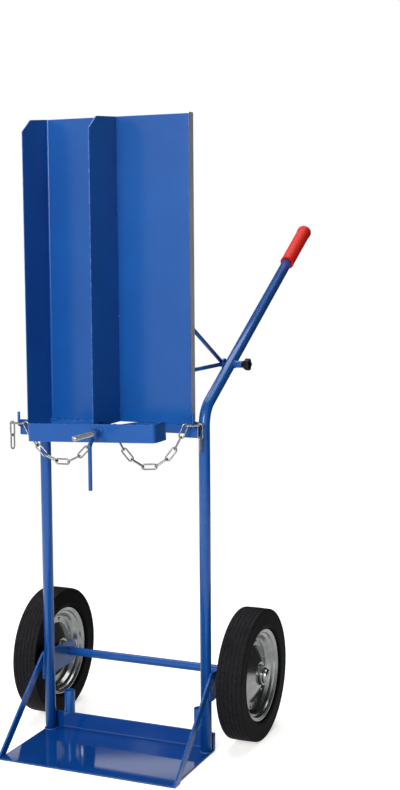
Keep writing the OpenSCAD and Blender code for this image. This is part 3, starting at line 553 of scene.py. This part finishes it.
def make_side_plates():
    """Braces and axle brackets: flat plates on the outer sides of the tubes, with weld beads."""
    foot, head = np.array([-203.0, 0.0]), np.array([0.0, 182.0])
    run = (head - foot) / np.linalg.norm(head - foot)
    off = 10 * np.array([-run[1], run[0]])

    def at_y(p, y):
        return p + run * (y - p[0]) / run[0]

    def at_z(p, z):
        return p + run * (z - p[1]) / run[1]

    low_end, tube_end = 0.3, -6.3
    brace = [[TOE_FRONT, low_end], at_z(foot - off, low_end), at_y(foot - off, tube_end),
             at_y(foot + off, tube_end), at_y(foot + off, TOE_FRONT)]
    turn = np.linspace(-np.pi / 2 + 0.02, np.pi / 2 - 0.02, 40)
    eye = np.array([AXLE_Y, AXLE_Z]) + 26 * np.stack([np.cos(turn), np.sin(turn)], 1)
    bracket = np.vstack([[[-6, 124]], eye, [[-6, 190]]])
    for side, s in SIDES.items():
        low, high = sorted((s * OUTER_X, s * BRACKET_X))
        seam, front, back = s * (OUTER_X + 0.7), s * (OUTER_X - 0.3), s * (OUTER_X - 0.5)
        make_piece("corner_brace_" + side, "blue_paint",
                   [plate(rounded(brace, 1.2, 4, closed=True), low, high, YZ),
                    bead([[seam, -211, 2.0], [seam, -190, 2.0]], 1.8, Z_AXIS)],
                   "brace_" + side)
        make_piece("wheel_bracket_" + side, "blue_paint",
                   [plate(bracket, low, high, YZ),
                    bead([[front, -6.4, 126], [front, -6.4, 188]], 2.2, X_AXIS),
                    bead([[back, 5.5, 128], [back, 5.5, 187]], 2.2, X_AXIS),
                    ring_bead([s * (BRACKET_X + 0.1), AXLE_Y, AXLE_Z], 11, 1.8, X_AXIS),
                    ring_bead([s * (OUTER_X - 0.1), AXLE_Y, AXLE_Z], 11, 1.8, X_AXIS)],
                   "axle_bracket_" + side)


def make_sockets():
    """Open tubes behind the rear flange, with eased lips."""
    for side, s in SIDES.items():
        spot = [s * SOCKET_X, SOCKET_Y, 0]
        seams = [[[s * SOCKET_X + k * 6.5, 24.0, z] for z in (8, 40)] for k in (-1, 1)]
        make_piece("rear_tube_" + side, "blue_paint",
                   [ring(4.0, 90.0, 10.5, 12.5, spot, Z_AXIS, 0.8, 64)]
                   + [bead(seam, 1.8, X_AXIS) for seam in seams],
                   "rear_socket_" + side)


def make_panel():
    """Shield: a sheet bent along its left edge; the flange's top falls towards the front and is
    cut at the corner, and its lower edge drops in front of the cradle. The fin is a flat plate
    with a notch for the chain."""
    bend = rounded([[FLANGE_X, FLANGE_FRONT], [FLANGE_X, PANEL_Y], [PANEL_X, PANEL_Y]], 5.0, 9)
    cut = FLANGE_FRONT + CUT_LEN
    stops = [FLANGE_FRONT + 14, cut - 0.6, cut + 0.6, -20.6, -20.4]
    path = np.vstack([bend[:1], np.stack([np.full(5, FLANGE_X), stops], 1), bend[1:]])
    top = PANEL_HIGH + np.interp(path[:, 1], [FLANGE_FRONT, stops[1], stops[2], -18.5],
                                 [-CUT_DROP, -TOP_FALL - 0.4, -TOP_FALL, 0])
    bottom = PANEL_LOW + np.interp(path[:, 1], [FLANGE_FRONT, stops[0], stops[3], stops[4]],
                                   [0, -14, -14, 0])
    make_piece("shield_sheet", "blue_paint", [strip(path, 2.0, bottom, top, XY, 0.5)], "shield_panel")

    low, high = PANEL_LOW, PANEL_HIGH
    notch_front, notch_back, notch_top, fin_back = CHAIN_Y - 9.75, CHAIN_Y + 9.75, 756.9, -14.6
    fin = [[FIN_FRONT, low], [notch_front, low], [notch_front, notch_top], [notch_back, notch_top],
           [notch_back, low], [fin_back, low], [fin_back, high], [FIN_FRONT + CUT_LEN, high - TOP_FALL],
           [FIN_FRONT, high - CUT_DROP]]
    outline = rounded(fin, [2, 1, 1, 1, 1, 0.6, 1, 3, 3], 5, closed=True)
    spots = [tack([x, -15.2, z], (2.6, 2.2, 4.0))
             for x, heights in ((2.4, (775, 985, 1220, 1395)), (-2.4, (800, 1060, 1300))) for z in heights]
    make_piece("middle_fin", "blue_paint", [plate(outline, -1.5, 1.5, YZ, 0.6)] + spots, "centre_fin")
    edge = rounded([[-12.5, low], [9.5, low], [9.5, high + 3], [-12.5, high + 3]], 1.2, 4, closed=True)
    make_piece("edge_trim", "bare_metal", [plate(edge, PANEL_X - 2, PANEL_X, YZ, 0.4)], "edge_strip")


def make_cradle():
    """Flat bar under the panel with a forward nose, and the threaded stud in it: the stud's
    radius follows a triangle wave along its helix and falls at both ends."""
    corners = [[-175, -15], [-42, -15], [-24, -65], [24, -65], [42, -15], [175, -15]]
    make_piece("cradle_strap", "blue_paint",
               [strip(rounded(corners, 7.0, 6), BAR_T, 728.4, 748.3, XY, 0.8),
                ring_bead([STUD_X, STUD_Y - 0.3, STUD_Z], 7, 2.0, Y_AXIS)], "cradle_bar")
    y = np.linspace(0, STUD_LEN, 870)[:, None]
    f = angles(32)
    wave = np.abs((y / THREAD_PITCH + f / (2 * np.pi)) % 1 * 2 - 1)
    depth = np.clip(np.minimum(y, STUD_LEN - y) / 2.5, 0, 1)
    radius = 5.95 - 0.95 * wave - 1.2 * (1 - depth)
    points = np.stack([STUD_X + radius * np.cos(f), np.broadcast_to(STUD_Y - y, radius.shape),
                       STUD_Z + radius * np.sin(f)], 2)
    make_piece("threaded_stud", "zinc_plate", [skin(points)], "clamp_stud")


def make_struts():
    """V struts: two straight rods from the flat eye at the handle to the panel's back."""
    nut_t, foot_x, foot_y, aim_y = 6.0, 165.0, -12.7, -21.5
    for side, s in SIDES.items():
        eye = np.array([s * (EYE_X + 0.2), KNOB_Y, KNOB_Z])
        low, high = sorted((s * EYE_X, s * (EYE_X + BAR_T)))
        parts = [ring(low, high, 4.3, 13.0, [0, KNOB_Y, KNOB_Z], X_AXIS, 0.8, 48)]
        for rise in (110.0, -3.0):
            way = np.array([s * foot_x, aim_y, KNOB_Z + rise]) - eye
            way /= np.linalg.norm(way)
            start = eye + way * 11.0
            stop = eye + way * (foot_y - eye[1]) / way[1]
            across = np.cross(way, [0, 0, 1.0])
            across /= np.linalg.norm(across)
            parts.append(rod(np.vstack([start, stop]), 4.5, across, 32))
            parts.append(ring_bead(stop + [0, 0.6, 0], 4.6, 1.6, Y_AXIS))
        make_piece("v_strut_" + side, "blue_paint", parts, "strut_" + side)
        nut_x = min(s * EYE_X, s * (EYE_X - nut_t))
        make_piece("hex_nut_" + side, "blue_paint",
                   [hexagon(nut_t, 13.0, 4.05, [nut_x, KNOB_Y, KNOB_Z], X_AXIS, 0.9)], "strut_nut_" + side)


def make_knobs():
    """Star knobs: radius between the neck and a star of five lobes, r = m + a·cos(5f) − b·cos(10f),
    blended and rounded along the axis; the neck sits on a short boss on the tube."""
    length, dome, neck_r = 19.0, 3.2, 8.0
    f = angles(120)
    star = 12.6 + 1.9 * np.cos(5 * f) - 0.35 * np.cos(10 * f)
    a = np.linspace(0, np.pi / 2, 7)
    along = np.concatenate([[0, 0.01, 5.4], 6.0 + 1.6 * (1 - np.cos(a)),
                            length - dome + dome * np.sin(a), [length]])
    full = np.concatenate([[0, 0, 0], 0.45 + 0.55 * np.sin(a), np.ones(7), [0]])
    shrink = np.concatenate([[1.2, 0, 0], np.zeros(7), dome * (1 - np.cos(a)), [0]])
    radius = neck_r + (star - neck_r) * full[:, None] - shrink[:, None]
    radius[-1] = 3.0
    worn = np.concatenate([[0, 0, 0], np.full(7, 0.5), np.linspace(0, 1, 7), [0.0]])[:, None]
    for side, s in SIDES.items():
        x = s * (KNOB_X + along)
        points = np.stack([np.broadcast_to(x[:, None], radius.shape), KNOB_Y + radius * np.cos(f),
                           KNOB_Z + radius * np.sin(f)], 2)
        make_piece("star_knob_" + side, "black_plastic", [skin(points, worn=worn)], "knob_" + side)
        low, high = sorted((s * (OUTER_X - 2), s * (KNOB_X - 0.3)))
        make_piece("knob_neck_" + side, "blue_paint",
                   [ring(low, high, 4.3, neck_r, [0, KNOB_Y, KNOB_Z], X_AXIS, 0.6, 48),
                    ring_bead([s * (OUTER_X - 0.5), KNOB_Y, KNOB_Z], 8.2, 1.5, X_AXIS)],
                   "knob_boss_" + side)


def make_hooks():
    """Chain hooks: a small plate and a round prong bent upwards from it."""
    bottom, top = HOOK_Z - 22.1, HOOK_Z + 11.9
    for side, (left, right) in {"left": (-199.0, -175.0), "right": (170.0, 194.0)}.items():
        x, y = PRONGS[side]
        face = y + 13.0
        path = rounded([[x, face + 2.5, HOOK_Z], [x, y, HOOK_Z], [x, y, 775.4]], 4.5, 8)
        line, radius = blunt(path, 3.0, 1.2)
        outline = [[left, bottom], [right, bottom], [right, top], [left, top]]
        make_piece("hook_prong_" + side, "blue_paint",
                   [plate(rounded(outline, 2.0, 5, closed=True), face, face + BAR_T, XZ),
                    rod(line, radius, X_AXIS, 24),
                    ring_bead([x, face - 0.2, HOOK_Z], 3.4, 1.3, Y_AXIS)], "chain_hook_" + side)


def make_clamp():
    """Clamp: a flat bar bent back at both ends, the left one cut off behind its bend, and tilted
    about the stud; a washer, a long nut and a bent lever."""
    half, washer_t, lever_y = BAR_T / 2, 2.5, -187.0
    left, right = -162.0 - STUD_X + half, 150.0 - STUD_X - half
    path = rounded([[left, 30], [left, half], [right, half], [right, 57]], 8.5, 9)
    path[0, 1] = 13.0
    flat, faces, edge = strip(path, BAR_T, -22.0, 18.0, XY, 0.8)
    tilt = np.radians(2.0)
    x, y, z = flat.T
    flat = np.stack([x * np.cos(tilt) - z * np.sin(tilt) + STUD_X, y + CLAMP_FACE,
                     x * np.sin(tilt) + z * np.cos(tilt) + STUD_Z], 1)
    make_piece("clamp_strap", "blue_paint", [(flat, faces, edge)], "clamp_bar")
    make_piece("clamp_ring", "blue_paint",
               [ring(0, washer_t, 6.5, 13.0, [STUD_X, CLAMP_FACE, STUD_Z], (0, -1, 0), 0.5, 64)],
               "clamp_washer")
    make_piece("long_nut", "blue_paint",
               [hexagon(24.0, 19.0, 6.02, [STUD_X, CLAMP_FACE - washer_t, STUD_Z], (0, -1, 0), 1.6)],
               "clamp_nut")
    path = rounded([[STUD_X, lever_y, 620.4], [STUD_X, lever_y, STUD_Z - 25],
                    [STUD_X, -168.9, STUD_Z - 4.5]], 12.0, 10)
    line, radius = blunt(path, 4.25, 1.2)
    make_piece("bent_lever", "blue_paint",
               [rod(line, radius, X_AXIS, 28),
                ring_bead([STUD_X, -171.5, STUD_Z - 9.0], 4.4, 1.8, Z_AXIS)], "clamp_lever")


# Chain

def link(centre, heading, slope, upright, hang=False):
    """One link: a round wire along an oval of two straight sides and two half circles, with a
    swell where the wire is welded; turned by its heading, slope and quarter turn."""
    a = np.linspace(-np.pi / 2, np.pi / 2, 11)
    bow = np.stack([BOW_X + BOW_R * np.cos(a), BOW_R * np.sin(a)], 1)
    straight = np.stack([np.linspace(BOW_X, -BOW_X, 9)[1:-1], np.full(7, BOW_R)], 1)
    half = np.vstack([bow, straight])
    oval = np.vstack([half, -half])
    path = np.concatenate([oval, np.zeros((len(oval), 1))], 1)
    swell = np.where(path[:, 1] > BOW_R - 0.01, np.exp(-(path[:, 0] / 1.4) ** 2), 0)
    flat, faces, edge = rod(path, WIRE_R * (1 + 0.10 * swell), Z_AXIS, 14, wrap=True)
    x, y, z = flat.T
    if upright:
        y, z = -z, y
    if hang:
        x, z = z, -x
    else:
        x, z = x * np.cos(slope) - z * np.sin(slope), x * np.sin(slope) + z * np.cos(slope)
    c, s = np.cos(heading), np.sin(heading)
    flat = np.stack([x * c - y * s, x * s + y * c, z], 1) + np.asarray(centre, float)
    return flat, faces, edge + 0.5


def make_chain():
    """Chain: the tangent of each link's slope grows in equal steps along a half, and the step is
    the one at which the run of all links fills the span, found by halving its range."""
    flat_pitch = LINK_IN + 2 * WIRE_R
    hold = LINK_IN / 2 - WIRE_R - 0.3
    step = np.where(np.arange(HALF_LINKS) % 2 == 0, 2 * hold, flat_pitch)
    place = np.arange(HALF_LINKS) - (HALF_LINKS - 1) / 2
    ends = []
    for side, s in SIDES.items():
        bow = np.array([STUD_X + s * BOW_X, CHAIN_Y])
        way = PRONGS[side] - bow
        span = np.linalg.norm(way)
        way = way / span
        span -= BOW_R + flat_pitch / 2
        heading = np.arctan2(way[1], way[0])
        low, high = 0.001, 3.0
        for _ in range(40):
            c = (low + high) / 2
            low, high = (c, high) if (step * np.cos(np.arctan(c * place))).sum() > span else (low, c)
        slope = np.arctan(c * place)
        run, rise = step * np.cos(slope), step * np.sin(slope)
        reach = BOW_R + np.cumsum(run) - run / 2
        height = CHAIN_Z + np.cumsum(rise) - rise / 2
        links = [link([*(bow + way * reach[i]), height[i]], heading, slope[i], i % 2 == 0)
                 for i in range(HALF_LINKS)]
        make_piece("link_chain_" + side, "chain_zinc", links, "chain_" + side)
        ends.append(link([*PRONGS[side], CHAIN_Z], heading, 0.0, False))
        tip = PRONGS[side] + way * flat_pitch / 2
        tail = [link([*tip, CHAIN_Z - hold - i * (flat_pitch / 2 + hold)], heading - TAIL_TURN, 0.0,
                     i == 0, True) for i in range(2)]
        make_piece("spare_links_" + side, "chain_zinc", tail, "chain_tail_" + side)
    make_piece("end_links", "chain_zinc", ends, "chain_end_links")
    make_piece("middle_link", "chain_zinc", [link([STUD_X, CHAIN_Y, CHAIN_Z], 0.0, 0.0, False)],
               "chain_centre_link")


# Wheels

def tyre_profile():
    """Tyre section as a closed loop: the tread falls with the square of the distance from the
    middle and has five narrow grooves 9.6 apart; the flat side carries fine rings."""
    tread_half, groove_pitch = 26.0, 9.6
    h = np.linspace(-tread_half, tread_half, 209)
    off = np.abs((h + groove_pitch / 2) % groove_pitch - groove_pitch / 2)
    groove = 1.2 / (1 + (off / 0.7) ** 8) * (np.abs(h) < 22)
    tread = np.stack([h, WHEEL_R - 0.5 * (h / tread_half) ** 2 - groove], 1)
    shoulder = rounded([[tread_half, 152.0], [29.6, 151.7], [29.7, 141.0]], 3.0, 8)[1:-1]
    r = np.linspace(147.0, 110.5, 90)
    rings = sum(0.35 * np.exp(-((r - k) / 0.6) ** 2) for k in (143.0, 119.0, 115.5))
    side = np.stack([29.6 - 1.2 * np.clip((118 - r) / 8, 0, 1) ** 2 + rings, r], 1)
    heel = np.array([[27.2, 108.6], [24.5, 107.6], [20.9, 107.0], [18.5, 101.5], [14.0, 98.5], [2.0, 91.5]])
    half = np.vstack([shoulder, side, heel])
    return np.vstack([tread, half, half[::-1] * [-1, 1]])


def rim_section(corners, radius):
    """Pressed sheet 2.5 thick as a closed loop round its rounded middle line; where it runs into
    the web's blocks, within 8 of the web's radius, it is thinner than they are."""
    line = rounded(corners, radius, 9)
    half = np.where(np.abs(line[:, 1] - WEB_R) < 8.0, 0.9, 1.25)[:, None]
    return np.vstack([moved_in(line, half, closed=False), moved_in(line, -half, closed=False)[::-1]])


def web_block(angle, hole, low, high, centre, way):
    """Sector of the rim's web round a hole: rows run from the hole's edge out to the sector's
    border on one face and back on the other, columns run round the hole."""
    k = np.linspace(-1, 1, 17)[:-1]
    border = np.vstack([np.stack([k, -np.ones(16)], 1), np.stack([np.ones(16), k], 1),
                        np.stack([-k, np.ones(16)], 1), np.stack([-np.ones(16), -k], 1)])
    turn = np.radians(30.2) * border[:, 0] + angle
    radius = WEB_R + 8.2 * border[:, 1]
    edge = np.stack([radius * np.cos(turn), radius * np.sin(turn)], 1)
    out, beside = np.array([[np.cos(angle), np.sin(angle)], [-np.sin(angle), np.cos(angle)]])
    f = np.arctan2(border[:, 1], border[:, 0])[:, None]
    round_ = WEB_R * out + hole * (np.cos(f) * beside + np.sin(f) * out)
    near, far = round_ + (edge - round_) * 0.06, round_ + (edge - round_) * 0.97
    flat = np.stack([round_, near, far, edge, edge, far, near, round_])
    height = np.repeat([low, high], 4)
    points = np.stack([np.broadcast_to(centre[0] + way * height[:, None], flat.shape[:2]),
                       centre[1] + flat[..., 0], centre[2] + flat[..., 1]], 2)
    return skin(points, wrap_rows=True)


def make_wheels():
    """Wheel: tyre, two pressed rim halves with their vents and rivets, hub, bearings. The web has
    six sectors; every second one holds a rivet, the others a vent."""
    tyre = tyre_profile()
    # The tread band, where the lighter colour is painted sheen as well as scuffing
    worn = np.clip((tyre[:, 1] - 149.0) / 2.5, 0, 1)
    dish = rim_section([[19.0, 23.05], [19.0, 29.0], [1.25, 65.0], [1.25, 72.0]], [0, 12.0, 14.0, 0])
    barrel = rim_section([[1.25, 78.5], [1.25, 82.5], [5.0, 86.0], [13.5, 90.5], [16.0, 96.5], [21.0, 98.5],
                          [22.5, 103.0], [24.75, 106.0]], [0, 2.0, 3.0, 4.0, 2.5, 2.5, 2.5, 0])
    spin = np.radians(60.0 * np.arange(6) + 16.0)
    vent_r, rivet_r, sheet = 4.5, 2.6, 2.5
    u = np.linspace(0.1, np.pi / 2, 7)
    cap = np.stack([sheet + 2.4 * np.cos(u), 5.4 * np.sin(u)], 1)
    rivet = np.vstack([cap, [[sheet, 2.5], [-sheet, 2.5]], (cap * [-1, 1])[::-1]])
    seal = rounded([[14.5, 10.1], [30.4, 10.1], [30.4, 12.4], [29.7, 12.8], [29.7, 17.0], [30.4, 17.4],
                    [30.4, 18.4], [14.5, 18.4]], 0.35, 4, closed=True)
    for side, s in SIDES.items():
        centre = np.array([s * WHEEL_X, AXLE_Y, AXLE_Z])
        make_piece("grooved_tyre_" + side, "tyre_rubber",
                   [turned(tyre, centre, X_AXIS, 144, closed=True, worn=worn)], "tyre_" + side)
        for which, way in (("outer", s), ("inner", -s)):
            parts = [turned(dish, centre, (way, 0, 0), 96, closed=True),
                     turned(barrel, centre, (way, 0, 0), 120, closed=True)]
            parts += [web_block(t, vent_r if i % 2 == 0 else rivet_r, 0.02, sheet, centre, way)
                      for i, t in enumerate(spin)]
            make_piece("pressed_rim_%s_%s" % (which, side), "zinc_plate", parts, "rim_%s_%s" % (which, side))
        heads = [turned(rivet, centre + WEB_R * np.array([0, np.cos(t), np.sin(t)]), X_AXIS, 24)
                 for t in spin[1::2]]
        make_piece("rim_rivet_heads_" + side, "zinc_plate", heads, "rim_rivets_" + side)
        make_piece("hub_sleeve_" + side, "zinc_plate",
                   [ring(-31.0, 31.0, 18.5, 23.0, centre, X_AXIS, 1.2)], "hub_" + side)
        seals = [turned(seal, centre, (way, 0, 0), 72, closed=True) for way in (-1.0, 1.0)]
        make_piece("bearing_seals_" + side, "black_plastic", seals, "bearings_" + side)


def make_axle():
    """Axle bar, its spacers and washers, and the domed caps on its ends."""
    centre = [0, AXLE_Y, AXLE_Z]
    bore, outer, spacer_end, washer_t, cap_start = 10.05, 16.5, 227.2, 2.0, 292.8
    shaft = rounded([[-297, 9.0], [-296, 10], [296, 10], [297, 9.0]], 0.4, 4)
    make_piece("axle_shaft", "blue_paint", [turned(shaft, centre, X_AXIS, 48)], "axle")
    a = np.linspace(0, np.pi / 2 - 0.06, 9)
    dome = np.stack([297.2 + 4.6 * np.sin(a), 14.6 * np.cos(a)], 1)
    cap = np.vstack([rounded([[cap_start, 10.1], [cap_start, outer], [294.4, outer], [294.8, 15.0],
                              [297.2, 14.6]], [0, 0.5, 0.5, 0.8, 0], 4), dome[1:]])
    spacers, washers, caps = [], [], []
    for s in SIDES.values():
        spacers.append(ring(BRACKET_X, spacer_end, bore, outer, centre, (s, 0, 0), 0.6, 64))
        for start in (spacer_end, cap_start - washer_t):
            washers.append(ring(start, start + washer_t, bore, outer, centre, (s, 0, 0), 0.3, 64))
        caps.append(turned(cap, centre, (s, 0, 0), 64))
    make_piece("spacer_sleeves", "black_plastic", spacers, "axle_spacers")
    make_piece("flat_washers", "zinc_plate", washers, "axle_washers")
    make_piece("push_caps", "zinc_plate", caps, "axle_caps")


make_tubes()
make_grips()
make_toe_plate()
make_side_plates()
make_sockets()
make_panel()
make_cradle()
make_struts()
make_knobs()
make_hooks()
make_clamp()
make_chain()
make_wheels()
make_axle()

# The lugs and knob screws are shown as they are in the frame
for side in SIDES:
    for node, coat in (("panel_lug_" + side, "blue_paint"), ("knob_screw_" + side, "zinc_plate")):
        for place in frame["nodes"][node].material_slots:
            place.material = FINISH[coat]


# Studio

def dim_behind(add, way):
    """Share of light for mirrored rays: 1 in front and to the left, 0.04 behind the right."""
    behind = add("ShaderNodeVectorMath", {"operation": "DOT_PRODUCT"}, _0=way,
                 _1=(0.55, 0.83, 0.0)).outputs["Value"]
    return ramp(add, behind, -0.1, 0.4, (1.0, 0.04), "SMOOTHSTEP")


def make_floor():
    """Pale floor that takes the shadow: diffuse near the trolley and plain white to the camera
    further out. Mirrors see it dimmer behind the trolley's right, its near part less so."""
    reach = 30.0
    corners = [(-reach, -reach, 0), (reach, -reach, 0), (reach, reach, 0), (-reach, reach, 0)]
    mesh = bpy.data.meshes.new("studio_floor")
    mesh.from_pydata(corners, [], [(0, 1, 2, 3)])
    floor = new_object("studio_floor", mesh)
    material = bpy.data.materials.new("studio_floor")
    add = blank_shader(material)
    ray = add("ShaderNodeLightPath").outputs
    seen = maths(add, "MAXIMUM", ray["Is Camera Ray"], ray["Is Glossy Ray"])
    seen = maths(add, "MAXIMUM", seen, ray["Is Transmission Ray"])
    place = add("ShaderNodeTexCoord").outputs["Object"]
    away = add("ShaderNodeVectorMath", {"operation": "LENGTH"}, _0=place).outputs["Value"]
    far = maths(add, "MULTIPLY", ramp(add, away, 0.9, 2.2, kind="SMOOTHSTEP"), seen)
    way = add("ShaderNodeVectorMath", {"operation": "NORMALIZE"}, _0=place).outputs[0]
    shade = ramp(add, ray["Is Glossy Ray"], 0.0, 1.0, (1.0, dim_behind(add, way)))
    less_shade = ramp(add, shade, 0.0, 1.0, (0.6, 1.0))
    diffuse = add("ShaderNodeBsdfDiffuse", Color=(0.86, 0.86, 0.855, 1))
    glow = add("ShaderNodeEmission", Color=(1, 0.985, 0.95, 1), Strength=maths(add, "MULTIPLY", seen, 0.6))
    lit = add("ShaderNodeAddShader", _0=diffuse.outputs[0], _1=glow.outputs[0])
    black = add("ShaderNodeEmission", Color=(0, 0, 0, 1), Strength=0.0)
    near = add("ShaderNodeMixShader", _0=less_shade, _1=black.outputs[0], _2=lit.outputs[0])
    white = add("ShaderNodeEmission", Color=(1, 1, 1, 1), Strength=shade)
    mix = add("ShaderNodeMixShader", _0=far, _1=near.outputs[0], _2=white.outputs[0])
    add("ShaderNodeOutputMaterial", Surface=mix.outputs[0])
    mesh.materials.append(material)


def make_world():
    """White to the camera. Mirrors and glass see the same white, greyer towards the ceiling and
    behind the trolley's right. The rest gets a weak light that also falls off behind the right."""
    world = bpy.data.worlds.new("studio")
    bpy.context.scene.world = world
    add = blank_shader(world)
    ray = add("ShaderNodeLightPath").outputs
    mirrored = maths(add, "MAXIMUM", ray["Is Glossy Ray"], ray["Is Transmission Ray"])
    place = add("ShaderNodeTexCoord").outputs["Generated"]
    up = add("ShaderNodeSeparateXYZ", Vector=place).outputs["Z"]
    wall = ramp(add, up, 0.45, 0.9, (1.0, 0.3), "SMOOTHSTEP")
    share = ramp(add, mirrored, 0.0, 1.0, (0.12, wall))
    share = maths(add, "MULTIPLY", share, dim_behind(add, place))
    strength = ramp(add, ray["Is Camera Ray"], 0.0, 1.0, (share, 1.0))
    back = add("ShaderNodeBackground", Color=(1, 1, 1, 1), Strength=strength)
    add("ShaderNodeOutputWorld", Surface=back.outputs[0])


def make_lamp(name, place, target, wide, high, power):
    """Soft box of a width and height at a place, turned to its target."""
    lamp = bpy.data.lights.new(name, "AREA")
    lamp.shape = "RECTANGLE"
    lamp.size, lamp.size_y = wide, high
    lamp.energy = power
    holder = new_object(name, lamp)
    holder.location = place
    holder.rotation_euler = (Vector(target) - Vector(place)).to_track_quat("-Z", "Y").to_euler()


def make_camera():
    """Camera at the photograph's angle: 23.36 degrees to the right, 6.27 down, 0.44 rolled. Its
    focal length and shift are in pixels of the photograph."""
    yaw, pitch, roll = np.radians([23.357, 6.266, 0.435])
    focal, shift, photo_high, sensor = 1360.5, 6.8, 790.0, 36.0
    ahead = np.array([-np.sin(yaw) * np.cos(pitch), np.cos(yaw) * np.cos(pitch), -np.sin(pitch)])
    right = np.array([np.cos(yaw), np.sin(yaw), 0.0])
    down = np.cross(ahead, right)
    across = np.cos(roll) * right + np.sin(roll) * down
    below = -np.sin(roll) * right + np.cos(roll) * down
    lens = bpy.data.cameras.new("photo_camera")
    lens.sensor_fit = "VERTICAL"
    lens.sensor_height = sensor
    lens.lens = focal * sensor / photo_high
    lens.shift_x = shift / photo_high
    holder = new_object("photo_camera", lens)
    turn = np.eye(4)
    turn[:3, 0], turn[:3, 1], turn[:3, 2] = across, -below, -ahead
    turn[:3, 3] = np.array([1354.1, -2732.6, 1139.6]) * MM
    holder.matrix_world = Matrix(turn.tolist())
    bpy.context.scene.camera = holder


make_floor()
make_world()
make_lamp("key_box", (0.35, -4.0, 2.1), (0, 0, 0.8), 1.8, 1.8, 142.0)
make_lamp("side_box", (-3.2, -1.0, 2.2), (0, 0, 0.5), 2.0, 2.0, 30.0)
make_lamp("top_box", (-0.3, 1.1, 3.5), (0.1, 0.4, 1.1), 3.0, 3.0, 80.0)
make_lamp("glint_box", (-1.88, -4.0, 1.75), (0, 0, 1.39), 0.16, 0.16, 0.35)
make_lamp("back_window", (-1.56, 3.6, 1.625), (0.1, -0.1, 0), 0.82, 0.12, 0.4)
make_lamp("back_window_left", (-2.53, 3.6, 1.66), (-0.2, -0.15, 0), 0.24, 0.12, 0.12)
make_camera()
bpy.context.scene.view_settings.view_transform = "Standard"
